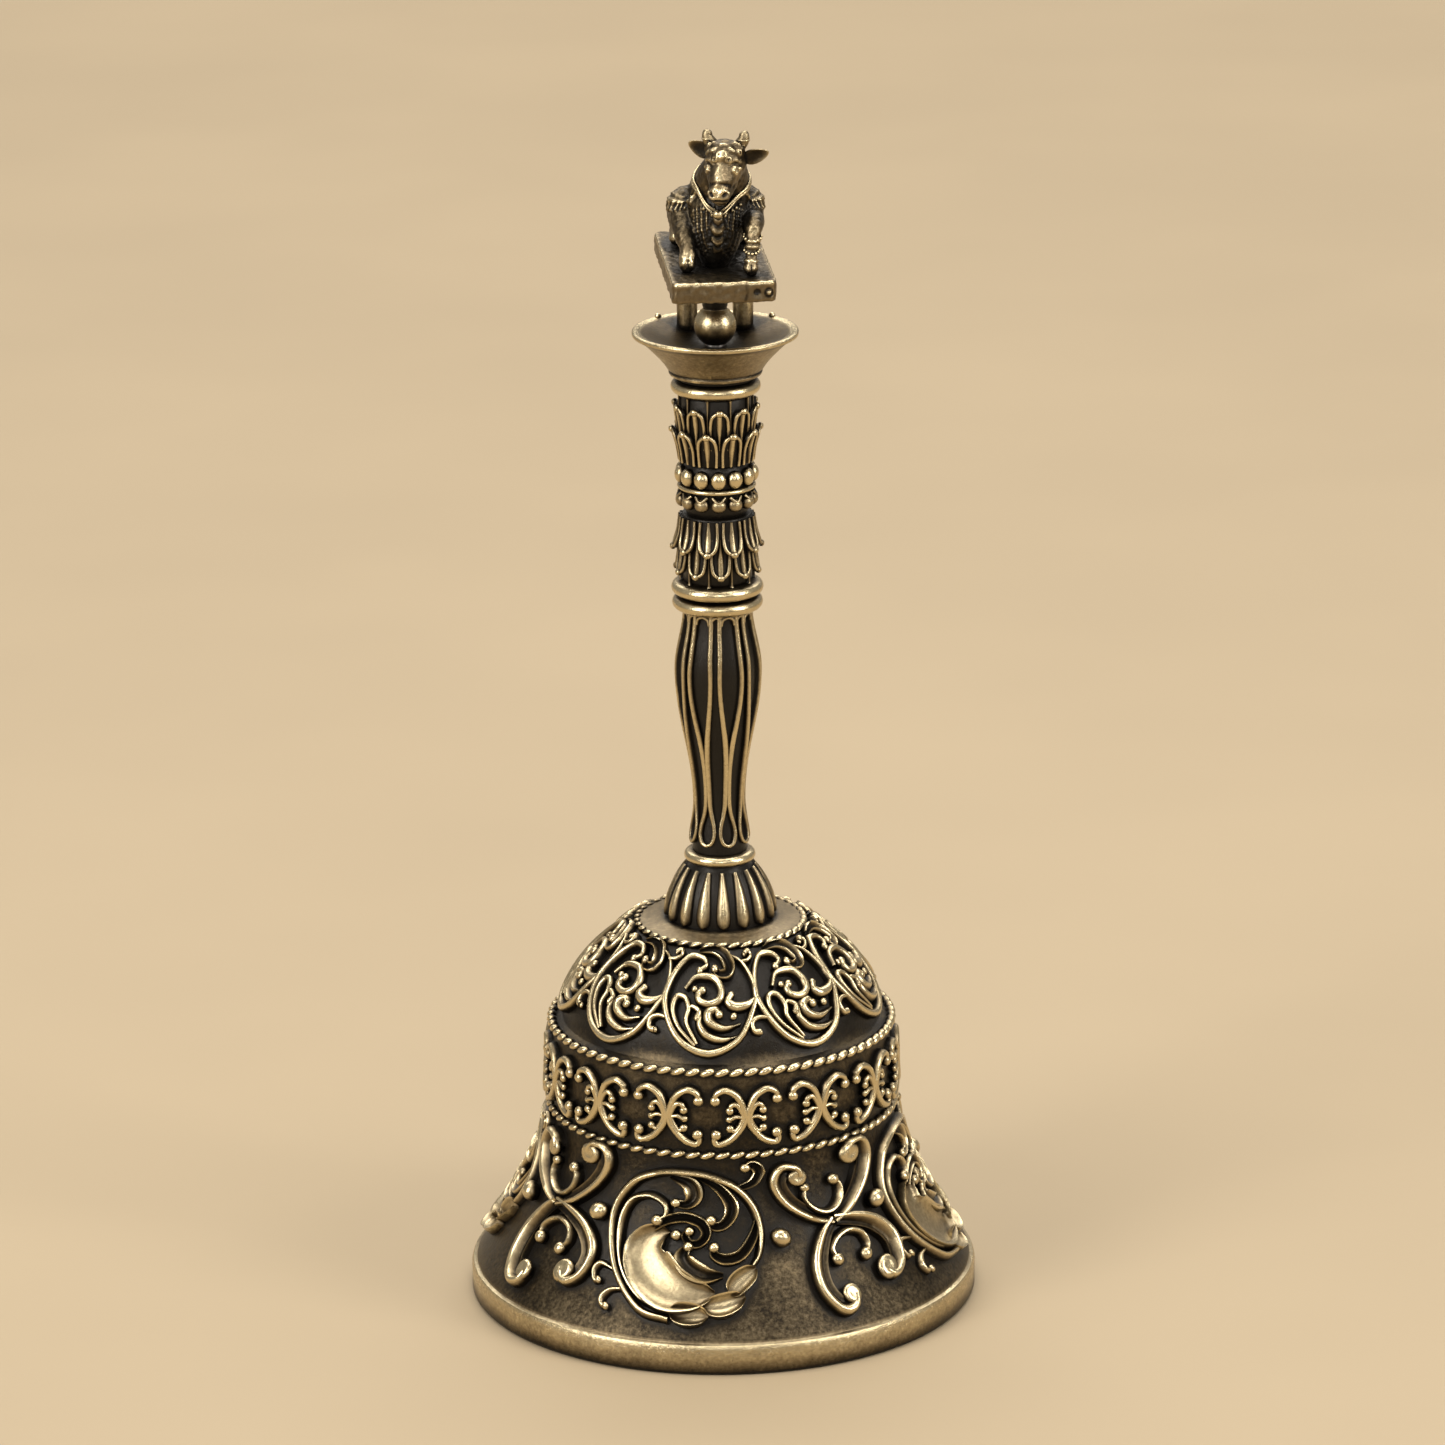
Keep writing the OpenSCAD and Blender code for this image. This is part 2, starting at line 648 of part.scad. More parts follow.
module bull_horns() {
    color(pale_brass)
    on_plinth()
    head_frame()
    for (side = [-1, 1]) {
        limb([side * 1.7, 0.4, 3.6], 1, [side * 2.7, 0.2, 5], 0.8, 10);
        limb([side * 2.7, 0.2, 5], 0.8, [side * 2.5, 0, 6.9], 0.35, 10);
    }
}

// The neck cord with its small bell on the chest
module bull_collar() {
    bell_at = [0.4, -10.4, 7.4];
    color(pale_brass)
    on_plinth() {
        translate([0.6, -6, 11]) rotate([48, 0, 0])
            rotate_extrude() translate([4.3, 0]) circle(0.45);
        translate(bell_at) sphere(1.1);
    }
}

// ---------- tie rod and clapper ----------

module tie_rod() {
    rod_z = hub_z + 1.4;
    color(steel)
    translate([0, 0, rod_z])
        cylinder(r = rod_r, h = seat_z + post_bore_l - 0.4 - rod_z);
}

module crown_washer() {
    color(brass)
    translate([0, 0, inner_crown_z - washer_t])
    difference() {
        cylinder(r = rod_r + 3, h = washer_t);
        translate([0, 0, -1]) cylinder(r = bore_r, h = washer_t + 2);
    }
}

module crown_nut() {
    nut_r = 2 * rod_r;
    color(steel)
    translate([0, 0, inner_crown_z - washer_t - nut_t])
    difference() {
        cylinder(r = nut_r, h = nut_t, $fn = 6);
        translate([0, 0, -1]) cylinder(r = rod_r, h = nut_t + 2);
    }
}

// A cap nut with an eye under it, screwed onto the end of the tie rod
module clapper_hanger() {
    color(brass)
    difference() {
        union() {
            translate([0, 0, hub_z]) cylinder(r = hub_r, h = hub_h);
            translate([0, 0, eye_z]) rotate([90, 0, 0])
                rotate_extrude() translate([eye_r, 0]) circle(eye_wire_d / 2);
        }
        translate([0, 0, hub_z + 1.4]) cylinder(r = rod_r, h = hub_h);
    }
}

module clapper_link() {
    color(pale_brass)
    translate([0, 0, link_z]) rotate([0, 90, 0])
        rotate_extrude() translate([link_r, 0]) circle(link_wire_d / 2);
}

clapper_rod_r = 1.2;
module clapper_rod() {
    color(brass) {
        translate([0, 0, clapper_eye_z]) rotate([90, 0, 0])
            rotate_extrude() translate([clapper_eye_r, 0]) circle(clapper_wire_d / 2);
        translate([0, 0, ball_z])
            cylinder(r = clapper_rod_r, h = clapper_eye_z - clapper_eye_r - ball_z);
    }
}

module clapper_ball() {
    color(brass)
    difference() {
        union() {
            translate([0, 0, ball_z]) sphere(d = clapper_ball_d);
            translate([0, 0, clapper_clear_h + tip_r]) sphere(tip_r);
        }
        translate([0, 0, ball_z]) cylinder(r = clapper_rod_r, h = clapper_ball_d);
    }
}

bell_body();
shoulder_rope();
waist_rope();
crown_rope();
dome_medallions();
band_scrolls();
skirt_medallions();
skirt_crossed_scrolls();
skirt_studs();
crown_plate();
stem_foot();
neck_ring();
grip();
lower_collar();
lower_leaf_sleeve();
bead_collar();
upper_leaf_sleeve();
upper_collar();
capital();
capital_pins();
finial_post();
plinth_props();
plinth();
bull();
bull_horns();
bull_collar();
tie_rod();
crown_washer();
crown_nut();
clapper_hanger();
clapper_link();
clapper_rod();
clapper_ball();
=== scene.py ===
"""Brass puja hand bell: the cast ornament, the handle and the bull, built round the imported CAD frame.

Shapes are drawn in millimetres and scaled to metres when a piece is finished.
Flat scrollwork is drawn with x round the bell, y up its wall and z out of it, and is then wrapped on.
The clapper and what holds it are the frame's own nodes, and only take a finish here.
"""

import math

import bmesh
import bpy
import numpy as np
from bpy.props import FloatProperty, FloatVectorProperty, IntProperty, PointerProperty
from mathutils import Matrix, Vector
from mathutils import noise as field
from mathutils.bvhtree import BVHTree


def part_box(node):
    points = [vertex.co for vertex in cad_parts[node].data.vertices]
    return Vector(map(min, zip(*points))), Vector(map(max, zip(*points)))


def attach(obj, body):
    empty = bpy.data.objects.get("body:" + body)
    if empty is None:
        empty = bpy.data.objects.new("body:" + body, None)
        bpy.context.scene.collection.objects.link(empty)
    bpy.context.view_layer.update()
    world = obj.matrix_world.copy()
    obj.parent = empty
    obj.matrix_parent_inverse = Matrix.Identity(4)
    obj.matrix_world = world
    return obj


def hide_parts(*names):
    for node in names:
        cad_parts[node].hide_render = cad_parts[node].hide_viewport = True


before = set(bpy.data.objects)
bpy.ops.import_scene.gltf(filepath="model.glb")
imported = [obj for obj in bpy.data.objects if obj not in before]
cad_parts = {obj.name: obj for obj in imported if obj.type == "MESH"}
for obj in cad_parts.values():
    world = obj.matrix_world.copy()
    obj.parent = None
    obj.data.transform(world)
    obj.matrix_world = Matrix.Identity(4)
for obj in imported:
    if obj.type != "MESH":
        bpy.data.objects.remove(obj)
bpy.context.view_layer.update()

bl_info = {
    "name": "Brass Puja Bell",
    "version": (1, 0, 0),
    "blender": (4, 5, 0),
    "location": "3D View > Sidebar > Puja Bell",
    "description": "Builds the scrollwork, handle and bull of a brass puja bell, with their aged finishes",
    "category": "Object",
}

MM = 0.001
BELL_STEPS = 192
HANDLE_STEPS = 96
HOLLOW_REACH = 0.004
MOTTLE_SCALE = 1500
GRAIN_SCALE = 4200
PIT_SCALE = 1500
BLOTCH_SCALE = 130
DOME_COUNT = 9
BAND_COUNT = 14
SKIRT_COUNT = 4
SKIRT_FLARE = 1.77
SKIRT_LEAN = 23.4
GRIP_THIN = 4.1
GRIP_THICK = 6.7
GRIP_LOW, GRIP_HIGH = 0.2, 0.745
HEAD_AT = (1.05, -9.2, 16.7)
HEAD_TURN = -19
BULL_VOXEL = 0.21
PLINTH_VOXEL = 0.26
SMOOTH_ROUNDS = 3
CAMERA_AT = (0.0006, -1.0502, 0.4203)
CAMERA_DOWN = 17.31
CAMERA_ROLL = -0.5
CAMERA_LENS = 176.2


# ---------- sizes taken from the frame, in millimetres ----------

def low(node):
    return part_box(node)[0] / MM


def high(node):
    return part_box(node)[1] / MM


ROPE_SIT = 0.2
ROPE_R = (high("waist_rope").z - low("waist_rope").z) / 2
WAIST_Z = (high("waist_rope").z + low("waist_rope").z) / 2
WAIST_R = high("waist_rope").x - ROPE_R - ROPE_SIT
SHOULDER_Z = (high("shoulder_rope").z + low("shoulder_rope").z) / 2 - 0.2
SHOULDER_R = high("shoulder_rope").x - ROPE_R - ROPE_SIT
MOUTH_R = high("bell_body").x
CROWN_Z = high("bell_body").z
CROWN_R = (high("crown_plate").x - low("crown_plate").x) / 2
FOOT_Z = high("crown_plate").z
NECK_Z = low("neck_ring").z
NECK_R = (high("neck_ring").x - low("neck_ring").x) / 2
GRIP_Z = low("grip").z
GRIP_L = high("grip").z - GRIP_Z
COLLAR_Z = low("lower_collar").z
COLLAR_R = (high("lower_collar").x - low("lower_collar").x) / 2
LOWER_SLEEVE_Z = low("lower_leaf_sleeve").z
BEADS_Z = low("bead_collar").z
UPPER_SLEEVE_Z = low("upper_leaf_sleeve").z
UPPER_COLLAR_Z = low("upper_collar").z
CAPITAL_Z = low("capital").z
LIP_Z = high("capital").z
LIP_R = (high("capital").x - low("capital").x) / 2
PLINTH_Z = low("plinth").z
BULL_Z = high("plinth").z
RIM_H = 4.8
LEDGE_W = 2
SLEEVE_R = 5.5
LEAF_TURN = 5.0
FOOT_R = 8.5
FRONT_TURN = -11.5
PLINTH_TURN = 5
PLINTH_W, PLINTH_L = 16, 35


# ---------- walls, as radius and height over the way up them ----------

def skirt_r(z):
    flare = np.clip(1 - (z - RIM_H) / (WAIST_Z - RIM_H), 0, 1) ** SKIRT_FLARE
    return WAIST_R + (MOUTH_R - 0.5 - WAIST_R) * flare


def skirt_wall(v):
    z = (RIM_H + WAIST_Z) / 2 - 0.4 + v * math.cos(math.radians(SKIRT_LEAN))
    return skirt_r(z), z


def band_wall(v):
    z = (WAIST_Z + SHOULDER_Z) / 2 + v
    return WAIST_R + (SHOULDER_R - WAIST_R) * (z - WAIST_Z) / (SHOULDER_Z - WAIST_Z), z


DOME_FOOT = np.array([SHOULDER_R - LEDGE_W, SHOULDER_Z + 1.8])
DOME_TOP = np.array([CROWN_R + 0.4, CROWN_Z])
DOME_SLOPE = DOME_TOP - DOME_FOOT
DOME_RUN = float(np.hypot(*DOME_SLOPE))


def dome_at(t, out=0.0):
    swell = 1.5 * np.sin(math.pi * np.clip(t, 0, 1) ** 0.8) + out
    return (DOME_FOOT[0] + t * DOME_SLOPE[0] + swell * DOME_SLOPE[1] / DOME_RUN,
            DOME_FOOT[1] + t * DOME_SLOPE[1] - swell * DOME_SLOPE[0] / DOME_RUN)


def dome_wall(v):
    return dome_at(0.5 + v / DOME_RUN)


def foot_wall(v):
    t = np.clip(v / (NECK_Z - FOOT_Z), 0, 1)
    top = NECK_R - 1
    return top + (FOOT_R - top) * np.cos(math.pi / 2 * t) ** 0.75 - 0.3, FOOT_Z + v


def ease(t):
    return (1 - np.cos(math.pi * np.clip(t, 0, 1))) / 2


def grip_wall(v):
    t = v / GRIP_L
    foot = NECK_R * 0.88
    swell = GRIP_THIN + 2.6 * ease((t - GRIP_LOW) / 0.545)
    shrink = GRIP_THICK - 1.4 * ease((t - GRIP_HIGH) / 0.255)
    r = np.where(t < GRIP_LOW, foot + (GRIP_THIN - foot) * ease(t / GRIP_LOW),
                 np.where(t < GRIP_HIGH, swell, shrink))
    return r - 0.5, GRIP_Z + v


def upper_sleeve_wall(v):
    return np.full_like(v, SLEEVE_R), UPPER_SLEEVE_Z + v


def lower_sleeve_wall(v):
    return np.full_like(v, SLEEVE_R), BEADS_Z - v


def bead_wall(v):
    return np.full_like(v, SLEEVE_R - 0.4), BEADS_Z + v


def wrap(flat, wall, turn):
    """Carries flat points onto a wall, at a turn in degrees from the front."""
    u, v, out = flat.T
    r, z = wall(v)
    r0, z0 = wall(v - 0.05)
    r1, z1 = wall(v + 0.05)
    run = np.hypot(r1 - r0, z1 - z0)
    angle = math.radians(turn) + u / r
    reach = r + out * np.abs(z1 - z0) / run
    rise = out * (r0 - r1) * np.sign(z1 - z0) / run
    return np.column_stack([reach * np.sin(angle), -reach * np.cos(angle), z + rise])


# ---------- mesh tools ----------

def material_of(name):
    return bpy.data.materials[name]


def finish_piece(name, mesh, material, node, sharp=50):
    """Makes a mesh in millimetres a piece of the bell, in metres, in the place of a CAD node."""
    mesh.name = name
    mesh.transform(Matrix.Scale(MM, 4))
    mesh.shade_smooth()
    mesh.set_sharp_from_angle(angle=math.radians(sharp))
    mesh.materials.clear()
    mesh.materials.append(material_of(material))
    piece = bpy.data.objects.new(name, mesh)
    bpy.context.scene.collection.objects.link(piece)
    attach(piece, "bell")
    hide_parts(node)


def mesh_from(bm, lift=None):
    """Turns a bmesh into a mesh. lift is how proud and rubbed each point is, 0 in the ground and 1 on the
    ridges; on the post under the plinth it carries painted shadow instead.
    """
    bmesh.ops.recalc_face_normals(bm, faces=bm.faces[:])
    mesh = bpy.data.meshes.new("part")
    bm.to_mesh(mesh)
    bm.free()
    if lift is not None:
        set_lift(mesh, lift)
    return mesh


def points_of(mesh):
    co = np.empty(len(mesh.vertices) * 3, np.float32)
    mesh.vertices.foreach_get("co", co)
    return co.reshape(-1, 3).astype(float)


def set_lift(mesh, lift):
    """Writes the lift of each point: one value, one value a point, or a function of its radius and height."""
    if callable(lift):
        co = points_of(mesh)
        lift = lift(np.hypot(co[:, 0], co[:, 1]), co[:, 2])
    values = np.broadcast_to(np.asarray(lift, np.float32), (len(mesh.vertices),))
    layer = mesh.attributes.get("lift") or mesh.attributes.new("lift", "FLOAT", "POINT")
    layer.data.foreach_set("value", np.ascontiguousarray(np.clip(values, 0, 1)))


def joined(meshes):
    """One mesh of several, with their lifts."""
    bm = bmesh.new()
    lifts = []
    for mesh in meshes:
        values = np.zeros(len(mesh.vertices), np.float32)
        mesh.attributes["lift"].data.foreach_get("value", values)
        lifts.append(values)
        bm.from_mesh(mesh)
    mesh = bpy.data.meshes.new("part")
    bm.to_mesh(mesh)
    bm.free()
    set_lift(mesh, np.concatenate(lifts))
    return mesh


def turned(outline, steps=HANDLE_STEPS, soften=0.12, lift=0.7):
    """Spins an outline of radius and height into a closed solid, with its sharp rims softened."""
    bm = bmesh.new()
    verts = [bm.verts.new((r, 0, z)) for r, z in outline]
    edges = [bm.edges.new(pair) for pair in zip(verts, verts[1:])]
    if outline[0][0] > 0 or outline[-1][0] > 0:
        edges.append(bm.edges.new((verts[-1], verts[0])))
    bmesh.ops.spin(bm, geom=verts + edges, cent=(0, 0, 0), axis=(0, 0, 1), angle=math.tau, steps=steps,
                   use_merge=True)
    bmesh.ops.remove_doubles(bm, verts=bm.verts[:], dist=1e-4)
    bmesh.ops.recalc_face_normals(bm, faces=bm.faces[:])
    if soften:
        rims = [e for e in bm.edges if abs(e.verts[0].co.z - e.verts[1].co.z) < 1e-4
                and e.calc_face_angle(0) > math.radians(28)]
        bmesh.ops.bevel(bm, geom=rims, offset=soften, segments=3, affect="EDGES", profile=0.5, material=-1,
                        clamp_overlap=True)
    return mesh_from(bm, lift)


def smooth_line(points, per):
    """A smooth line through control points, with per steps from each to the next."""
    p = np.asarray(points, float)
    p = np.vstack([2 * p[0] - p[1], p, 2 * p[-1] - p[-2]])
    t = np.arange(per)[:, None] / per
    spans = [0.5 * (2 * b + (c - a) * t + (2 * a - 5 * b + 4 * c - d) * t ** 2
                    + (3 * b - a - 3 * c + d) * t ** 3)
             for a, b, c, d in zip(p, p[1:], p[2:], p[3:])]
    return np.vstack(spans + [p[-2:-1]])


def sweep(bm, rings, layer=None, lifts=None):
    """Extrudes the first ring of points through the others and closes both ends."""
    ring = [bm.verts.new(p) for p in rings[0]]
    edges = [bm.edges.new(pair) for pair in zip(ring, ring[1:] + ring[:1])]
    bmesh.ops.contextual_create(bm, geom=edges)
    for k, points in enumerate(rings):
        if k:
            made = bmesh.ops.extrude_edge_only(bm, edges=edges)["geom"]
            new = {v for v in made if isinstance(v, bmesh.types.BMVert)}
            ring = [next(e.other_vert(v) for e in v.link_edges if e.other_vert(v) in new) for v in ring]
            edges = [e for e in made if isinstance(e, bmesh.types.BMEdge) and set(e.verts) <= new]
        for i, v in enumerate(ring):
            v.co = points[i]
            if layer is not None:
                v[layer] = lifts[k][i]
    bmesh.ops.contextual_create(bm, geom=edges)


def tube(bm, points, radii, sides=8, per=4):
    """A round tube along a smooth line through points, with a radius for each of them."""
    r = np.interp(np.linspace(0, 1, len(points)), np.linspace(0, 1, len(radii)), radii)
    line = smooth_line(np.column_stack([np.asarray(points, float), r]), per)
    heading = np.gradient(line[:, :3], axis=0)
    side = Vector((0.31, 0.17, 0.93))
    rings = []
    for p, d in zip(line, heading):
        d = Vector(d).normalized()
        side = (side - d * side.dot(d)).normalized()
        across = d.cross(side)
        rings.append([Vector(p[:3]) + (side * math.cos(a) + across * math.sin(a)) * max(p[3], 0.02)
                      for a in np.arange(sides) * math.tau / sides])
    sweep(bm, rings)


# Cross-sections of a stroke: how far across from -1 to 1, and how high, where below 0 is let into the wall
ROUND = [(math.cos(a), math.sin(a) ** 0.75) for a in np.linspace(0, math.pi, 9)]
ROUND[0], ROUND[-1] = (1, -1), (-1, -1)
ROUND = [(1, -1), (0.99, 0.3)] + ROUND[1:-1] + [(-0.99, 0.3), (-1, -1)]
KEEL = [(1, -1), (0.97, 0.2), (0.8, 0.5), (0.45, 0.8), (0.15, 0.98), (-0.15, 0.98), (-0.45, 0.8), (-0.8, 0.5),
        (-0.97, 0.2), (-1, -1)]
HOLLOW = [(1, -1), (0.98, 0.5), (0.88, 0.92), (0.7, 1), (0.5, 0.8), (0.28, 0.48), (0, 0.36), (-0.28, 0.48),
          (-0.5, 0.8), (-0.7, 1), (-0.88, 0.92), (-0.98, 0.5), (-1, -1)]
SCOOP = [(1, -1), (0.99, 0.6), (0.94, 0.98), (0.85, 0.94), (0.74, 0.66), (0.5, 0.42), (0.2, 0.3), (-0.2, 0.3),
         (-0.5, 0.42), (-0.74, 0.66), (-0.85, 0.94), (-0.94, 0.98), (-0.99, 0.6), (-1, -1)]
SHEET = [(1, -0.3), (0.9, 0.15), (0, 0.3), (-0.9, 0.15), (-1, -0.3), (0, -0.6)]
RIBBON = [(1, -1), (0.97, 0.32), (0.87, 0.54), (0.6, 0.44), (0.35, 0.42), (0.1, 0.6), (-0.15, 0.86),
          (-0.4, 1),
          (-0.65, 0.98), (-0.86, 0.78), (-0.97, 0.4), (-1, -1)]
RIBBON_BACK = [(-t, h) for t, h in reversed(RIBBON)]


class Motif:
    """Flat scrollwork, drawn in millimetres and then wrapped onto a wall as often as it repeats."""

    def __init__(self, relief, sink=0.45):
        self.bm = bmesh.new()
        self.layer = self.bm.verts.layers.float.new("lift")
        self.relief = relief
        self.sink = sink
        self.thick = 1.0

    def stroke(self, points, widths, shape=ROUND, high=1.0, ball=0.0, rise=(0,), start_ball=0.0, per=5,
               bright=1.0,
               low=0.0):
        """A raised stroke along a smooth line. widths and rise are spread evenly over its control points."""
        spread = np.linspace(0, 1, len(points))
        w = np.interp(spread, np.linspace(0, 1, len(widths)), widths) * self.thick
        up = np.interp(spread, np.linspace(0, 1, len(rise)), rise)
        line = smooth_line(np.column_stack([np.asarray(points, float), w, up]), per)
        heading = np.gradient(line[:, :2], axis=0)
        heading /= np.hypot(*heading.T)[:, None]
        widest = line[:, 2].max()
        rings, lifts = [], []
        for (u, v, w, up), (du, dv) in zip(line, heading):
            full = 0.6 + 0.4 * min(1, w / widest)
            rings.append([(u - dv * t * w / 2, v + du * t * w / 2,
                           up + (h * self.relief * high * full if h > 0 else h * self.sink)) for t,
                           h in shape])
            lifts.append([max(low if h > 0 else 0.0, h * full * bright) for t, h in shape])
        sweep(self.bm, rings, self.layer, lifts)
        if ball:
            self.ball(points[-1], ball, rise[-1])
        if start_ball:
            self.ball(points[0], start_ball, rise[0])

    def ball(self, at, r, rise=0.0, tall=1.0, dimple=0.0, bright=1.0):
        """A bead on the wall, flattened or drawn out by tall, with a dimple in its face."""
        centre = Vector((at[0], at[1], rise + 0.45 * self.relief))
        made = bmesh.ops.create_uvsphere(self.bm, u_segments=14, v_segments=9, radius=r)["verts"]
        for v in made:
            top = max(0.0, v.co.z / r)
            v[self.layer] = (0.45 + 0.55 * top) * bright
            v.co.z *= tall
            v.co.z -= dimple * r * top ** 6
            v.co += centre

    def narrow(self, share, wall):
        """Draws the motif together sideways, more where the wall curves tighter, to clear its neighbours."""
        middle = wall(0)[0]
        for v in self.bm.verts:
            v.co.x *= share * min(1.0, wall(v.co.y)[0] / middle)

    def laid_out(self, wall, turns):
        """Wraps a copy onto the wall at each turn, as one mesh."""
        flat = bpy.data.meshes.new("flat")
        bmesh.ops.recalc_face_normals(self.bm, faces=self.bm.faces[:])
        self.bm.to_mesh(flat)
        self.bm.free()
        lift = np.zeros(len(flat.vertices), np.float32)
        flat.attributes["lift"].data.foreach_get("value", lift)
        co = points_of(flat)
        bm = bmesh.new()
        for turn in turns:
            copy = flat.copy()
            copy.vertices.foreach_set("co", wrap(co, wall, turn).astype(np.float32).ravel())
            bm.from_mesh(copy)
            bpy.data.meshes.remove(copy)
        mesh = bpy.data.meshes.new("part")
        bm.to_mesh(mesh)
        bm.free()
        bpy.data.meshes.remove(flat)
        set_lift(mesh, np.tile(lift, len(turns)))
        return mesh


def flipped(points, sx=1, sy=1):
    return [(sx * p[0], sy * p[1]) for p in points]


def around(n, start=0.0):
    return [start + i * 360 / n for i in range(n)]


def twisted_rope(r, z, thick, lumps):
    """A twisted wire laid round a ring: slanted oval lumps, nose to tail, on a thin dark core."""
    core = turned([(r + thick * 0.3 * math.cos(a),
                    z + thick * 0.3 * math.sin(a)) for a in np.arange(8) * math.tau / 8],
                  BELL_STEPS, soften=0, lift=0.0)
    bm = bmesh.new()
    layer = bm.verts.layers.float.new("lift")
    pitch = math.tau * r / lumps
    slant = Matrix.Rotation(math.radians(-20), 4, "Y") @ Matrix.Diagonal((pitch * 0.6, thick * 0.54,
                                                                          thick * 0.42, 1))
    for turn in around(lumps):
        place = Matrix.Rotation(math.radians(turn), 4, "Z") @ Matrix.Translation((0, -r, z)) @ slant
        made = bmesh.ops.create_uvsphere(bm, u_segments=12, v_segments=8, radius=1)["verts"]
        for v in made:
            v[layer] = 0.35 - 0.5 * v.co.y + 0.25 * v.co.z
            v.co = place @ v.co
    wire = mesh_from(bm)
    return joined([core, wire])


# ---------- finishes ----------

def add_node(tree, kind, inputs=None, **settings):
    """Adds a node. An input given as a socket is linked, and any other value is set on the socket."""
    node = tree.nodes.new(kind)
    for name, value in settings.items():
        setattr(node, name, value)
    for name, value in (inputs or {}).items():
        if isinstance(value, bpy.types.NodeSocket):
            tree.links.new(value, node.inputs[name])
        else:
            node.inputs[name].default_value = value
    return node


def maths(tree, operation, a, b):
    return add_node(tree, "ShaderNodeMath", {0: a, 1: b}, operation=operation).outputs[0]


def ranged(tree, value, low_in, high_in, low_out=0.0, high_out=1.0):
    return add_node(tree, "ShaderNodeMapRange", {
        "Value": value, "From Min": low_in, "From Max": high_in, "To Min": low_out, "To Max": high_out,
    }, interpolation_type="SMOOTHSTEP").outputs["Result"]


def mixed(tree, share, a, b):
    node = add_node(tree, "ShaderNodeMix", data_type="RGBA")
    for socket, value in ((node.inputs[0], share), (node.inputs[6], a), (node.inputs[7], b)):
        if isinstance(value, bpy.types.NodeSocket):
            tree.links.new(value, socket)
        else:
            socket.default_value = value
    return node.outputs[2]


def noise(tree, where, scale, detail=4.0, rough=0.6):
    return add_node(tree, "ShaderNodeTexNoise", {
        "Vector": where, "Scale": scale, "Detail": detail, "Roughness": rough,
    }).outputs["Fac"]


def aged_brass_group(finish):
    """Blackened brass, rubbed back: dark in the hollows, brown between, bright where it stands proud."""
    tree = bpy.data.node_groups.new("aged_brass", "ShaderNodeTree")
    for name, kind, default in (
        ("Lift", "NodeSocketFloat", 0.6),
        ("Rub", "NodeSocketFloat", 0.5),
        ("Hollow", "NodeSocketFloat", 1.0),
        ("Mottle", "NodeSocketFloat", 0.3),
        ("Grain", "NodeSocketFloat", 0.5),
    ):
        tree.interface.new_socket(name, in_out="INPUT", socket_type=kind).default_value = default
    for name, kind in (
        ("Color", "NodeSocketColor"),
        ("Roughness", "NodeSocketFloat"),
        ("Metallic", "NodeSocketFloat"),
        ("Height", "NodeSocketFloat"),
    ):
        tree.interface.new_socket(name, in_out="OUTPUT", socket_type=kind)
    given = tree.nodes.new("NodeGroupInput").outputs
    where = add_node(tree, "ShaderNodeTexCoord").outputs["Object"]
    blotch = noise(tree, where, BLOTCH_SCALE, 3)
    mottle = noise(tree, where, MOTTLE_SCALE, 5, 0.7)
    grain = noise(tree, where, GRAIN_SCALE, 3, 0.7)
    pits = add_node(tree, "ShaderNodeTexVoronoi", {"Vector": where, "Scale": PIT_SCALE}).outputs["Distance"]

    open_sky = add_node(tree, "ShaderNodeAmbientOcclusion", {"Distance": HOLLOW_REACH},
                        samples=8).outputs["AO"]
    shut = ranged(tree, open_sky, 0.45, 0.95, 1.0, 0.0)
    edge = add_node(tree, "ShaderNodeNewGeometry").outputs["Pointiness"]
    edge = ranged(tree, edge, 0.5, 0.6)

    # How far the black is rubbed off: by the lift and the edges, less in the hollows, and mottled
    rubbed = maths(tree, "ADD", given["Lift"], given["Rub"])
    rubbed = maths(tree, "ADD", rubbed, maths(tree, "MULTIPLY", edge, 0.25))
    rubbed = maths(tree, "SUBTRACT", rubbed, maths(tree, "MULTIPLY", shut, given["Hollow"]))
    broken = maths(tree, "SUBTRACT", maths(tree, "MULTIPLY", mottle, 2.0), 1.0)
    patches = maths(tree, "SUBTRACT", blotch, 0.5)
    rubbed = maths(tree, "ADD", rubbed, maths(tree, "MULTIPLY", maths(tree, "ADD", broken, patches),
                                              given["Mottle"]))

    brown = ranged(tree, rubbed, 0.2, 0.66)
    bright = ranged(tree, rubbed, 0.6, 1.1)
    colour = mixed(tree, brown, (*finish.dark, 1), (*finish.middle, 1))
    colour = mixed(tree, bright, colour, (*finish.bright, 1))
    specks = ranged(tree, pits, 0.2, 0.02, 0.0, 0.75)
    colour = mixed(tree, maths(tree, "MULTIPLY", specks, given["Grain"]), colour, (*finish.dark, 1))

    rough = ranged(tree, bright, 0.0, 1.0, 0.38, 0.23)
    rough = maths(tree, "ADD", rough, maths(tree, "MULTIPLY", maths(tree, "SUBTRACT", mottle, 0.5), 0.3))
    height = maths(tree, "ADD", maths(tree, "MULTIPLY", mottle, 0.9), maths(tree, "MULTIPLY", grain, 0.35))
    height = maths(tree, "SUBTRACT", height, maths(tree, "MULTIPLY", specks, 0.5))
    out = tree.nodes.new("NodeGroupOutput").inputs
    tree.links.new(colour, out["Color"])
    tree.links.new(rough, out["Roughness"])
    tree.links.new(ranged(tree, rubbed, -0.1, 0.4, 0.55, 1.0), out["Metallic"])
    tree.links.new(height, out["Height"])
    return tree


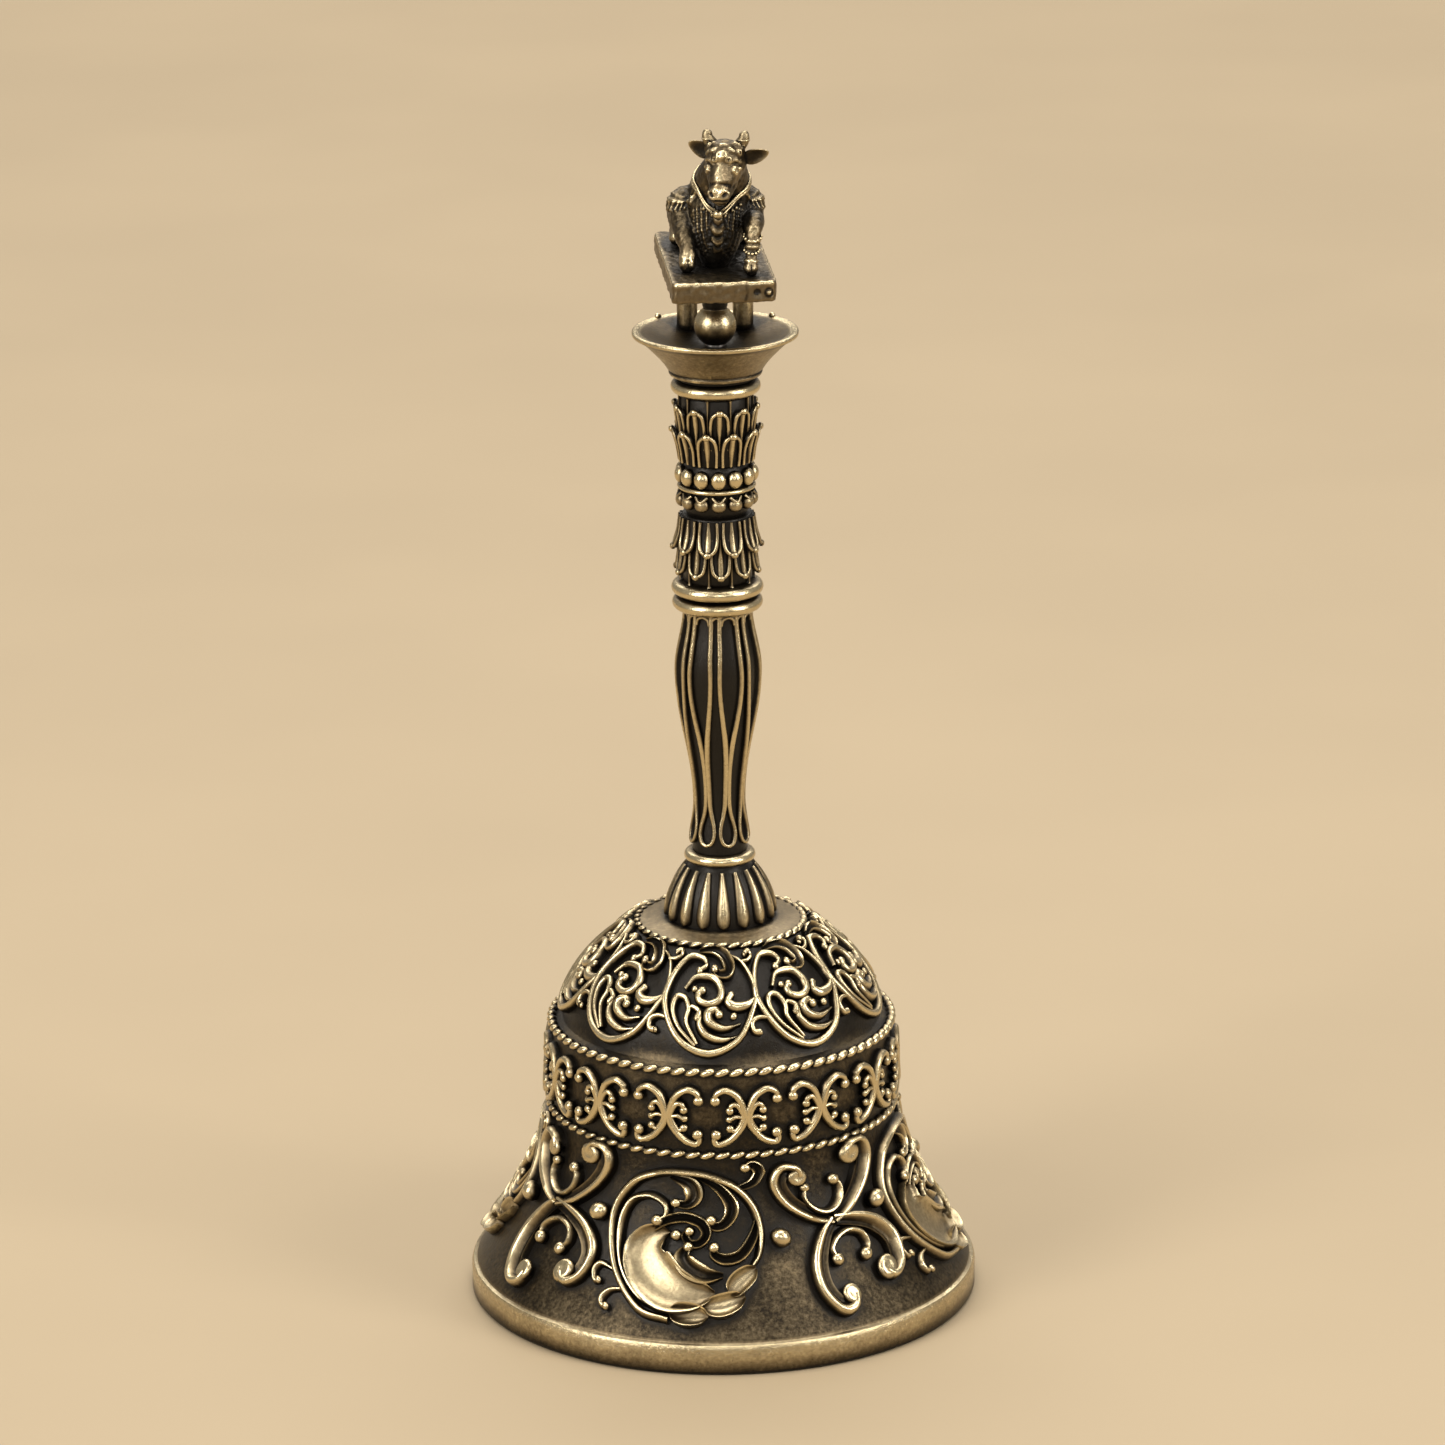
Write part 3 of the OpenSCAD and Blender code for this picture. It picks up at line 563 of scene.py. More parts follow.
def brass_material(name, group, rub, hollow, mottle, grain, bump, lift):
    """One brass finish. A piece reads its own lift layer, and a CAD node takes the lift given here."""
    made = bpy.data.materials.new(name)
    made.use_nodes = True
    tree = made.node_tree
    tree.nodes.clear()
    aged = add_node(tree, "ShaderNodeGroup", node_tree=group)
    for socket, value in (("Rub", rub), ("Hollow", hollow), ("Mottle", mottle), ("Grain", grain)):
        aged.inputs[socket].default_value = value
    if lift is None:
        layer = add_node(tree, "ShaderNodeAttribute", attribute_type="GEOMETRY", attribute_name="lift")
        tree.links.new(layer.outputs["Fac"], aged.inputs["Lift"])
    else:
        aged.inputs["Lift"].default_value = lift
    bumped = add_node(tree, "ShaderNodeBump", {
        "Height": aged.outputs["Height"], "Strength": bump, "Distance": 0.0002})
    shader = add_node(tree, "ShaderNodeBsdfPrincipled", {
        "Base Color": aged.outputs["Color"], "Roughness": aged.outputs["Roughness"],
        "Metallic": aged.outputs["Metallic"], "Normal": bumped.outputs["Normal"]})
    out = add_node(tree, "ShaderNodeOutputMaterial")
    tree.links.new(shader.outputs[0], out.inputs["Surface"])


def steel_material(name):
    """Plain turned steel, greyed and lightly rusted in patches."""
    made = bpy.data.materials.new(name)
    made.use_nodes = True
    tree = made.node_tree
    shader = tree.nodes["Principled BSDF"]
    where = add_node(tree, "ShaderNodeTexCoord").outputs["Object"]
    stain = noise(tree, where, 420, 5, 0.7)
    fine = noise(tree, where, 3200, 3)
    rust = ranged(tree, stain, 0.5, 0.72)
    tree.links.new(mixed(tree, rust, (0.42, 0.41, 0.39, 1), (0.16, 0.085, 0.045, 1)),
                   shader.inputs["Base Color"])
    tree.links.new(ranged(tree, rust, 0, 1, 0.32, 0.75), shader.inputs["Roughness"])
    tree.links.new(ranged(tree, rust, 0, 1, 1, 0.25), shader.inputs["Metallic"])
    bumped = add_node(tree, "ShaderNodeBump", {"Height": fine, "Strength": 0.25, "Distance": 0.0001})
    tree.links.new(bumped.outputs["Normal"], shader.inputs["Normal"])


# ---------- what a user would change ----------

class BellSizes(bpy.types.PropertyGroup):
    skirt_relief: FloatProperty(name="Skirt relief", description="How far the scrolls of the skirt stand out",
                                default=0.0017, unit="LENGTH")
    upper_relief: FloatProperty(name="Upper relief",
                                description="How far the scrolls of the dome and band stand out",
                                default=0.0015, unit="LENGTH")
    wall: FloatProperty(name="Wall", description="Thickness of the casting", default=0.0022, unit="LENGTH")
    rope_lumps: IntProperty(name="Rope lumps", description="Lumps of the twisted wire round the waist",
                            default=74)


class HandleSizes(bpy.types.PropertyGroup):
    rib_width: FloatProperty(name="Rib width", description="Width of one rib of the grip", default=0.00085,
                             unit="LENGTH")
    forks: IntProperty(name="Forks", description="Forked ribs round the grip", default=8)
    gadroons: IntProperty(name="Gadroons", description="Gadroons round the stem foot", default=16)
    leaves: IntProperty(name="Leaves", description="Leaves in a row of a sleeve", default=10)
    beads: IntProperty(name="Beads", description="Beads in a row of the collar", default=13)


class Finish(bpy.types.PropertyGroup):
    dark: FloatVectorProperty(name="Dark", description="Colour of the blackened hollows", subtype="COLOR",
                              default=(0.012, 0.0095, 0.0065), min=0, max=1)
    middle: FloatVectorProperty(name="Brown", description="Colour of the half rubbed brass", subtype="COLOR",
                                default=(0.2, 0.153, 0.09), min=0, max=1)
    bright: FloatVectorProperty(name="Bright", description="Colour of the rubbed brass", subtype="COLOR",
                                default=(0.68, 0.57, 0.355), min=0, max=1)


class StageSettings(bpy.types.PropertyGroup):
    floor: FloatVectorProperty(name="Floor", description="Colour of the floor", subtype="COLOR",
                               default=(0.34, 0.268, 0.172), min=0, max=1)
    light: FloatProperty(name="Light", description="Strength of the studio light", default=0.8, min=0)


# ---------- bell ----------

class BELL_OT_finishes(bpy.types.Operator):
    """Make the brass and steel finishes"""
    bl_idname = "puja_bell.finishes"
    bl_label = "Finishes"

    def execute(self, context):
        group = aged_brass_group(context.scene.bell_finish)
        # Name, rub, hollow, mottle, grain, bump, and the lift of a CAD node that has no lift layer
        for name, *amounts in (
            ("ground_finish", 0.14, 0.75, 0.3, 0.9, 0.5, None),
            ("scroll_finish", 0.02, 0.45, 0.2, 0.4, 0.25, None),
            ("rope_finish", 0.16, 0.5, 0.2, 0.3, 0.2, None),
            ("handle_finish", 0.0, 0.5, 0.2, 0.7, 0.3, None),
            ("ring_finish", 0.05, 0.6, 0.2, 0.3, 0.25, None),
            ("satin_finish", 0.08, 0.7, 0.3, 0.6, 0.45, None),
            ("bull_finish", 0.05, 0.75, 0.22, 0.3, 0.35, None),
            ("dull_finish", 0.1, 0.6, 0.35, 0.6, 0.35, 0.5),
            ("clapper_finish", 0.1, 0.4, 0.3, 0.5, 0.3, 0.7),
        ):
            brass_material(name, group, *amounts)
        steel_material("steel_finish")
        return {"FINISHED"}


class BELL_OT_shell(bpy.types.Operator):
    """Turn the bell's wall: rim, flared skirt, straight band, ledge and dome"""
    bl_idname = "puja_bell.shell"
    bl_label = "Bell wall"

    def execute(self, context):
        wall = context.scene.bell_sizes.wall / MM
        inner_crown = CROWN_Z - wall - 0.8
        skirt = [(float(skirt_r(z)), z) for z in np.linspace(RIM_H + 0.6, WAIST_Z, 26)]
        dome = [tuple(map(float, dome_at(t))) for t in np.linspace(0, 1, 18)]
        dome_inside = [tuple(map(float, dome_at(t, -wall))) for t in np.linspace(1, 0, 12)]
        outline = [(MOUTH_R - 4, 0.0), (MOUTH_R - 0.4, 0.0), (MOUTH_R, 0.5), (MOUTH_R - 0.02, 2.4),
                   (MOUTH_R, 4.1),
                   (MOUTH_R - 0.25, RIM_H), (MOUTH_R - 0.9, RIM_H + 0.15)]
        outline += skirt
        outline += [(SHOULDER_R, SHOULDER_Z), (DOME_FOOT[0] + 0.5, DOME_FOOT[1] - 0.9)] + dome
        outline += [(DOME_TOP[0] - 0.1, CROWN_Z), (0, CROWN_Z), (0, inner_crown),
                    (dome_inside[0][0] - 1, inner_crown)]
        outline += [p for p in dome_inside if SHOULDER_Z - wall + 0.3 < p[1] < inner_crown - 0.3]
        outline += [(SHOULDER_R - wall, SHOULDER_Z - wall)]
        outline += [(r - wall, z) for r, z in reversed(skirt)]
        outline += [(MOUTH_R - 3.2, 2.2)]

        def lift(r, z):
            outside = np.interp(z, [0, 0.4, RIM_H - 0.1, RIM_H + 0.15, RIM_H + 0.6, 14, WAIST_Z,
                                    SHOULDER_Z - 0.3,
                                    SHOULDER_Z, DOME_FOOT[1] - 0.4, DOME_FOOT[1] + 0.4, CROWN_Z],
                                [0.55, 0.72, 0.78, 0.7, 0.22, 0.24, 0.2, 0.08, 0.5, 0.42, 0.05, 0.05])
            in_skirt = (r < skirt_r(z) - wall * 0.6) & (z < WAIST_Z)
            inside = in_skirt | (r < SHOULDER_R - wall * 0.6) & (z < SHOULDER_Z)
            return np.where(inside & (z > 0.2), 0.35, outside)

        shell = turned(outline, BELL_STEPS, soften=0.25, lift=lift)
        finish_piece("bell_shell", shell, "ground_finish", "bell_body")
        return {"FINISHED"}


class BELL_OT_ropes(bpy.types.Operator):
    """Twist the wire ropes round the shoulder, the waist and the crown plate"""
    bl_idname = "puja_bell.ropes"
    bl_label = "Twisted ropes"

    def execute(self, context):
        lumps = context.scene.bell_sizes.rope_lumps
        waist = twisted_rope(WAIST_R + ROPE_SIT, WAIST_Z, 2 * ROPE_R, lumps)
        finish_piece("waist_twist", waist, "rope_finish", "waist_rope")
        shoulder = twisted_rope(SHOULDER_R + ROPE_SIT, SHOULDER_Z + 0.2, 2 * ROPE_R, lumps)
        finish_piece("shoulder_twist", shoulder, "rope_finish", "shoulder_rope")
        thick = high("crown_rope").z - low("crown_rope").z
        crown = twisted_rope(CROWN_R, CROWN_Z + thick / 2, thick, round(lumps * CROWN_R / WAIST_R * 1.15))
        finish_piece("crown_twist", crown, "rope_finish", "crown_rope")
        return {"FINISHED"}


class BELL_OT_dome_scrolls(bpy.types.Operator):
    """Lay the ring of curled medallions on the dome"""
    bl_idname = "puja_bell.dome_scrolls"
    bl_label = "Dome medallions"

    def execute(self, context):
        m = Motif(context.scene.bell_sizes.upper_relief / MM)
        m.thick = 1.3
        m.stroke([(3.4, 7.5), (6, 6), (7.4, 2.3), (7, -1.8), (4.8, -6.3), (0.1, -8.2), (-4.6, -6.5),
                  (-7.1, -2.1),
                  (-7, 3.3), (-4.9, 6.8), (-2.1, 6.9), (-1, 5.6), (-2.2, 4.6)],
                 (0.5, 0.95, 1.05, 1.05, 1.0, 0.8), ball=0.75)
        m.thick = 1.65
        m.stroke([(-3, 8), (0.1, 8.4), (2.3, 7.5), (3.35, 5.7), (3, 4.3), (1.5, 4.1), (0.6, 5.0)],
                 (0.5, 1.5, 1.6, 1.1, 0.8), HOLLOW, 1.0, ball=0.8)
        m.stroke([(-4.25, 1.4), (-3, 3.3), (-1.15, 3.7), (0.7, 3.3), (1.8, 1.6), (1.5, -0.1), (0.1, -0.85),
                  (-1.5, -0.45), (-1.9, 0.6), (-1.3, 1.3)], (0.5, 0.9, 0.95, 0.9, 0.8), ball=0.75)
        m.ball((-2.6, 1.5), 0.6)
        m.stroke([(-2.1, -7.2), (-4.9, -4.5), (-5.9, -1.8), (-5.2, 0.1), (-3.9, -0.1), (-3.3, -1.8),
                  (-3.6, -3.8),
                  (-1.8, -6.9)], (0.5, 0.7, 0.7, 0.5), high=0.95)
        m.stroke([(-3.2, -1.6), (-2.6, -1.4), (-1.6, -2.1), (-1.9, -3.1)], (0.5, 0.8), ball=0.6)
        m.stroke([(5.0, -4.0), (2.4, -4.6), (0.2, -3.7), (-0.2, -2.3), (0.9, -1.7), (1.6, -2.5)],
                 (0.4, 1.3, 1.4, 0.9), KEEL, 1.0, ball=0.75)
        m.stroke([(4.6, -5.8), (2.2, -6.3), (-0.3, -5.6), (-1.5, -4.0), (-1.3, -2.6)],
                 (0.3, 0.9, 1.1, 1.0, 0.6), KEEL, 0.95)
        m.ball((3.9, -2.8), 0.65)
        m.stroke([(7.2, -0.1), (6, -1.1), (4.1, -1.3), (2.9, -0.45), (3.35, 0.6)], (0.5, 1.2, 1.0, 0.8),
                 ball=0.65)
        m.stroke([(-6.6, -3.4), (-8.3, -3.2), (-9.6, -3.9), (-9.7, -5.2), (-8.8, -5.4)], (0.5, 0.8), ball=0.5)
        m.stroke([(5.7, 6.1), (7.2, 6.3), (8.2, 7.1), (7.7, 7.9), (6.9, 7.4)], (0.5, 0.8), ball=0.5)
        m.narrow(0.95, dome_wall)
        mesh = m.laid_out(dome_wall, around(DOME_COUNT, -4.8))
        finish_piece("dome_scrollwork", mesh, "scroll_finish", "dome_medallions")
        return {"FINISHED"}


class BELL_OT_band_scrolls(bpy.types.Operator):
    """Lay the row of back to back scrolls on the straight band"""
    bl_idname = "puja_bell.band_scrolls"
    bl_label = "Band scrolls"

    def execute(self, context):
        m = Motif(context.scene.bell_sizes.upper_relief / MM)
        m.thick = 1.45
        for sx in (-1, 1):
            m.stroke(flipped([(-4.7, 2.4), (-4.5, 3.5), (-3.1, 4.1), (-1.4, 3.1), (-0.5, 1.2), (-0.15, -0.3),
                              (-0.9, -2.1), (-2.5, -3.9), (-4.3, -4.6), (-4.9, -3.9), (-4.6, -3.1)], sx),
                     (0.8, 0.95, 1.0, 1.0, 0.95, 0.8), ball=0.92, start_ball=0.92)
            m.stroke(flipped([(-2.5, 0.8), (-2.3, 1.6), (-1.5, 1.8), (-0.8, 0.9), (-0.5, -0.2), (-0.9, -1.5),
                              (-1.7, -2.5),
                              (-2.5, -2.1)], sx), (0.7, 0.85, 0.85, 0.7), ball=0.72, start_ball=0.72,
                              high=0.95)
            m.stroke(flipped([(-0.6, -0.3), (-1.6, -0.15), (-2.6, -0.6)], sx), (0.6, 0.7), ball=0.62,
                     high=0.95)
        mesh = m.laid_out(band_wall, around(BAND_COUNT, 7.9))
        finish_piece("band_scrollwork", mesh, "scroll_finish", "band_scrolls")
        return {"FINISHED"}


class BELL_OT_skirt_medallions(bpy.types.Operator):
    """Lay the four round medallions, each with a paisley and curls, on the flared skirt"""
    bl_idname = "puja_bell.skirt_medallions"
    bl_label = "Skirt medallions"

    def execute(self, context):
        m = Motif(context.scene.bell_sizes.skirt_relief / MM, sink=0.8)
        m.thick = 1.3
        m.stroke([(-1.1, -10.9), (-6, -9.8), (-10, -5.5), (-11.6, -0.3), (-11.2, 4.8), (-8.2, 9.4),
                  (-4.2, 11.4),
                  (-0.6, 11.8), (3.4, 11.3), (7.4, 9.4), (10.3, 6), (11.7, 2.1), (11.8, -1.2), (11, -3)],
                 (0.9, 1.3, 1.4, 1.4, 1.3, 1.3, 1.3, 1.2, 0.9), KEEL, 0.95)
        m.stroke([(-2.4, 11.1), (0.5, 10), (1.3, 8), (0.3, 6.5), (-1.5, 6.6)], (0.7, 2.2, 2.3, 1.5, 1.0),
                 HOLLOW, 0.9,
                 ball=0.85)
        m.stroke([(2, 11.1), (4.7, 9.6), (6.7, 7.1), (7, 5.1), (6, 3.4), (4.6, 3.1), (4, 4.0)],
                 (0.6, 1.7, 1.8, 1.4, 1.0), HOLLOW, 0.9, ball=0.95)
        m.stroke([(-1.5, -9.9), (-6, -8.3), (-9.1, -4.8), (-10.2, -0.6), (-9.9, 3.5), (-8.3, 6.4),
                  (-5.5, 7.4),
                  (-3.2, 6.3), (-2.9, 4.5), (-4.2, 3.5)], (0.7, 1.0, 1.1, 1.2, 1.2, 1.1), KEEL, 0.95,
                  ball=1.05)
        m.stroke([(-2.2, 1.9), (-3.6, 1.5), (-5.0, 0.3), (-5.4, -1.8), (-4.2, -4.4), (-1.6, -6.4),
                  (1.8, -7.2), (4.4, -7.1),
                  (5.6, -6.9)], (0.4, 2.6, 4.2, 5.8, 6.4, 5.9, 4.2, 2.2, 0.4), SCOOP, 1.15, per=6, low=0.8)
        m.stroke([(-4.6, 2.2), (-2.9, 3.5), (-0.9, 4.3), (0.9, 4.3), (2.7, 3.5), (3.5, 1.9), (2.7, 0.45),
                  (1.2, 0.3),
                  (0.4, 1.4), (0.9, 2.2)], (0.9, 1.5, 1.5, 1.3, 1.1, 1.0), HOLLOW, 1.05, ball=0.9)
        m.ball((-1.1, 1.5), 0.95)
        m.stroke([(0.9, -0.2), (0.2, -1.7), (1.3, -3.3), (3.8, -4.4), (6.6, -4.4)],
                 (0.9, 2.2, 2.7, 2.3, 0.7), HOLLOW,
                 1.05, start_ball=0.9)
        m.stroke([(11, 3.9), (10.4, 1), (8.9, -1.4), (6.7, -2.0), (5.0, -1.3), (4.8, -0.2)],
                 (0.7, 1.6, 1.7, 1.3, 0.9),
                 HOLLOW, 0.95, ball=0.9)
        for pad, wide in (
            ([(11.5, -3.4), (10.7, -4.1), (9.2, -5.4), (8.3, -6.7), (7.9, -7.2)], (0.4, 2.3, 2.9, 2.2, 0.4)),
            ([(10.3, -7.4), (9.2, -8.0), (7.2, -8.7), (5.3, -8.9), (4.3, -8.9)], (0.4, 2.2, 2.8, 2.2, 0.4)),
            ([(5.0, -10.2), (3.8, -10.2), (1.8, -10.1), (-0.1, -9.9), (-1.1, -9.8)],
             (0.4, 2.1, 2.7, 2.1, 0.4)),
        ):
            m.stroke(pad, wide, SCOOP, 1.05, per=6, low=0.95)
        m.stroke([(7.8, 9.2), (10.0, 10.2), (10.9, 12), (10, 13.2), (8.8, 12.8)], (0.8, 1.6, 1.6, 1.0),
                 HOLLOW, 0.8,
                 ball=0.9)
        m.stroke([(-10.5, -5.0), (-12, -4.5), (-13.4, -4.4), (-14.3, -5.5), (-14, -6.9), (-13.2, -6.8)],
                 (0.6, 1.1, 0.8),
                 KEEL, 0.7, ball=0.6)
        m.stroke([(-9.3, -7.4), (-11.1, -7.8), (-12.4, -9.0), (-12.3, -10.0), (-11.4, -10.2)],
                 (0.6, 1.1, 0.8), KEEL, 0.7,
                 ball=0.6)
        mesh = m.laid_out(skirt_wall, around(SKIRT_COUNT, FRONT_TURN))
        finish_piece("skirt_scrollwork", mesh, "scroll_finish", "skirt_medallions")
        return {"FINISHED"}


class BELL_OT_crossed_scrolls(bpy.types.Operator):
    """Lay the four crossed scrolls and the studs beside them on the flared skirt"""
    bl_idname = "puja_bell.crossed_scrolls"
    bl_label = "Crossed scrolls and studs"

    def execute(self, context):
        relief = context.scene.bell_sizes.skirt_relief / MM
        m = Motif(relief, sink=0.8)
        arms = (
            (1, [(0, 0), (3.3, 1.9), (6.4, 5.2), (7.9, 8.7), (7.4, 11.2), (5.6, 11.4), (4.9, 10.1)], 2.0,
             RIBBON),
            (1, [(0, 0), (3.4, -0.6), (7.2, -2.2), (10.0, -5.2), (10.1, -8.6), (8.6, -9.9), (7.4, -9.2)],
             1.9, RIBBON_BACK),
            (-1, [(0, 0), (3.2, 1.3), (6.4, 4.0), (7.8, 7.2), (6.9, 9.4), (5.2, 9.2), (4.7, 8.0)], 1.6,
             RIBBON_BACK),
            (-1, [(0, 0), (2.0, -2.2), (4.0, -6.0), (4.3, -9.8), (2.8, -12.6), (1.1, -12.6), (0.6, -11.4)],
             1.6, RIBBON),
        )
        for sx, path, end, shape in arms:
            m.stroke([(sx * u, v + 2.2) for u, v in path], (2.0, 2.5, 2.9, 3.0, 2.9, 2.8, 2.6), shape, 1.25,
                     per=6)
            m.ball((sx * path[-1][0], path[-1][1] + 2.2), end, rise=0.35, tall=0.62, dimple=0.3)
        m.stroke([(-3.6, 8.2), (-3.9, 6.4), (-2.8, 4.6), (-0.9, 3.6), (0.9, 4.0), (2.3, 5.6), (2.4, 7.6),
                  (1.5, 8.6)],
                 (1.1, 1.5, 1.7, 1.6, 1.2), KEEL, 1.0, ball=1.05, start_ball=0.9)
        m.stroke([(-0.9, -3.9), (-1.3, -2.2), (0.2, -0.6), (2.4, 0.0), (4.6, -0.9), (5.3, -2.8), (4.4, -4.2)],
                 (1.1, 1.5, 1.6, 1.5, 1.2), KEEL, 0.95, ball=1.1, start_ball=1.1)
        turns = around(SKIRT_COUNT, FRONT_TURN + 45)
        finish_piece("crossed_scrollwork", m.laid_out(skirt_wall, turns), "scroll_finish",
                     "skirt_crossed_scrolls")
        studs = Motif(relief, sink=0.8)
        for side in (-1, 1):
            studs.ball((side * 9.0, 2.0 + side * 1.2), 1.6, rise=0.3, tall=0.95)
        finish_piece("skirt_beads", studs.laid_out(skirt_wall, turns), "scroll_finish",
                     "skirt_studs")
        return {"FINISHED"}


# ---------- handle ----------

def rounded_ring(r, h, z, hole=2.0):
    """The outline of a ring with a round edge and a fine shoulder above and below."""
    edge = [(r - 0.5 * h + 0.5 * h * math.cos(a), z + h / 2 + h * 0.44 * math.sin(a))
            for a in np.linspace(-math.pi / 2, math.pi / 2, 9)]
    return [(hole, z), (r - 0.9 * h, z), *edge, (r - 0.9 * h, z + h), (hole, z + h)]


class BELL_OT_crown(bpy.types.Operator):
    """Turn the crown plate, and the gadrooned foot and the neck ring that stand on it"""
    bl_idname = "puja_bell.crown"
    bl_label = "Crown plate and foot"

    def execute(self, context):
        plate = turned([(0, CROWN_Z), (CROWN_R - 0.3, CROWN_Z), (CROWN_R, CROWN_Z + 0.5),
                        (CROWN_R - 0.2, CROWN_Z + 0.8),
                        (CROWN_R - 2.5, CROWN_Z + 0.95), (FOOT_R + 1.2, FOOT_Z - 0.15),
                        (FOOT_R + 0.6, FOOT_Z),
                        (0, FOOT_Z)], soften=0.1, lift=0.6)
        finish_piece("crown_disc", plate, "satin_finish", "crown_plate")
        heights = np.linspace(0, (NECK_Z - FOOT_Z) * 0.985, 14)
        core_r, core_z = foot_wall(heights)
        core = turned([(0, FOOT_Z)] + list(zip((core_r - 0.1).tolist(), core_z.tolist()))
                      + [(NECK_R - 1.2, NECK_Z), (0, NECK_Z)], soften=0, lift=0.0)
        m = Motif(0.75, sink=0.5)
        m.stroke([(0, 0.15), (0, 0.5), (0, 1.4), (0, 3), (0, 5), (0, 7), (0, 8.2)],
                 (0.8, 1.9, 2.35, 2.25, 1.8, 1.25, 0.85), KEEL, 1.0)
        n = context.scene.handle_sizes.gadroons
        foot = joined([core, m.laid_out(foot_wall, around(n, 3.5))])
        finish_piece("gadrooned_foot", foot, "handle_finish", "stem_foot")
        neck = turned(rounded_ring(NECK_R, GRIP_Z - NECK_Z, NECK_Z), soften=0, lift=0.9)
        finish_piece("neck_band", neck, "ring_finish", "neck_ring")
        return {"FINISHED"}


class BELL_OT_grip(bpy.types.Operator):
    """Build the grip: forked ribs that close in a drop at the foot, on a dark core"""
    bl_idname = "puja_bell.grip"
    bl_label = "Grip"

    def execute(self, context):
        sizes = context.scene.handle_sizes
        rib = sizes.rib_width / MM
        r, z = grip_wall(np.linspace(0, GRIP_L, 40))
        core = turned([(0, GRIP_Z)] + list(zip((r - 0.15).tolist(), z.tolist())) + [(0, GRIP_Z + GRIP_L)],
                      soften=0, lift=0.0)
        top = GRIP_L - 0.3
        m = Motif(0.62, sink=0.4)
        for side in (-1, 1):
            m.stroke([(side * u, v) for u, v in (
                (0.0, 1.5), (0.75, 1.9), (1.14, 3.1), (1.02, 4.6), (0.58, 6.4), (0.3, 8.4), (0.22, 12),
                (0.3, 15.5),
                (0.62, 19), (1.15, 22.5), (1.6, 26), (1.75, 29.5), (1.55, 33), (1.25, top))],
                (rib * 0.75, rib * 0.8, rib * 0.8, rib, rib * 1.15, rib * 1.15, rib, rib, rib), ROUND, 1.0,
                per=4)
        m.stroke([(0, 6.8), (0, 12), (0, 17.4)], (0.4, 0.9, 0.5), SHEET, 1.3, bright=0.9)
        forks = m.laid_out(grip_wall, around(sizes.forks, 18))
        arches = Motif(0.6, sink=0.4)
        for centre, half in ((0, 1.0), (2.08, 0.72)):
            arches.stroke([(centre - half, top - 1.6), (centre - half * 0.8, top - 0.7), (centre, top - 0.25),
                           (centre + half * 0.8, top - 0.7), (centre + half, top - 1.6)], (0.5, 0.8, 0.5),
                           ROUND, 0.95)
        tops = arches.laid_out(grip_wall, around(sizes.forks, 18))
        cap_r = float(grip_wall(np.array([top]))[0][0])
        cap = turned([(0, GRIP_Z + top - 0.35), (cap_r + 0.5, GRIP_Z + top - 0.35),
                      (cap_r + 0.5, GRIP_Z + GRIP_L),
                      (0, GRIP_Z + GRIP_L)], lift=0.7)
        finish_piece("ribbed_grip", joined([core, forks, tops, cap]), "handle_finish", "grip")
        return {"FINISHED"}


class BELL_OT_collars(bpy.types.Operator):
    """Turn the collar rings and set the two rows of beads between the leaf sleeves"""
    bl_idname = "puja_bell.collars"
    bl_label = "Collars and beads"

    def execute(self, context):
        h = (LOWER_SLEEVE_Z - COLLAR_Z) / 2
        first = turned(rounded_ring(COLLAR_R - 0.1, h, COLLAR_Z), soften=0, lift=0.9)
        second = turned(rounded_ring(COLLAR_R, h, COLLAR_Z + h), soften=0, lift=0.9)
        finish_piece("double_collar", joined([first, second]), "ring_finish", "lower_collar")
        single = turned(rounded_ring(COLLAR_R - 0.2, h, UPPER_COLLAR_Z), soften=0, lift=0.9)
        finish_piece("single_collar", single, "ring_finish", "upper_collar")

        n = context.scene.handle_sizes.beads
        tall = UPPER_SLEEVE_Z - BEADS_Z
        middle = tall / 2 + 0.25
        core_r = SLEEVE_R - 0.4
        core = turned([(0, BEADS_Z), (core_r - 0.5, BEADS_Z), (core_r, BEADS_Z + 1),
                       (core_r, BEADS_Z + tall - 1),
                       (core_r - 0.5, UPPER_SLEEVE_Z), (0, UPPER_SLEEVE_Z)], lift=0.0)
        ring = turned([(core_r + 0.1 + 0.9 * math.cos(a), BEADS_Z + middle + 0.5 * math.sin(a))
                       for a in np.arange(14) * math.tau / 14], soften=0, lift=0.9)
        m = Motif(0.2, sink=0.3)
        m.ball((0, middle + 1.95), 1.18, rise=0.25, tall=0.95)
        m.ball((0, middle - 2.05), 1.16, rise=0.2, tall=0.9, bright=0.7)
        m.stroke([(-0.9, middle - 0.7), (0, middle - 1.5), (0.9, middle - 0.7)], (0.4, 0.5, 0.4), ROUND, 1.0,
                 rise=(0.6, 1.05, 0.6), bright=0.8)
        for v in m.bm.verts:
            if v.co.y > middle + 0.4:
                v.co.y = middle + 1.95 + (v.co.y - middle - 1.95) * 1.25
        beads = m.laid_out(bead_wall, around(n, 3.2))
        finish_piece("beaded_collar", joined([core, ring, beads]), "ring_finish", "bead_collar")
        return {"FINISHED"}


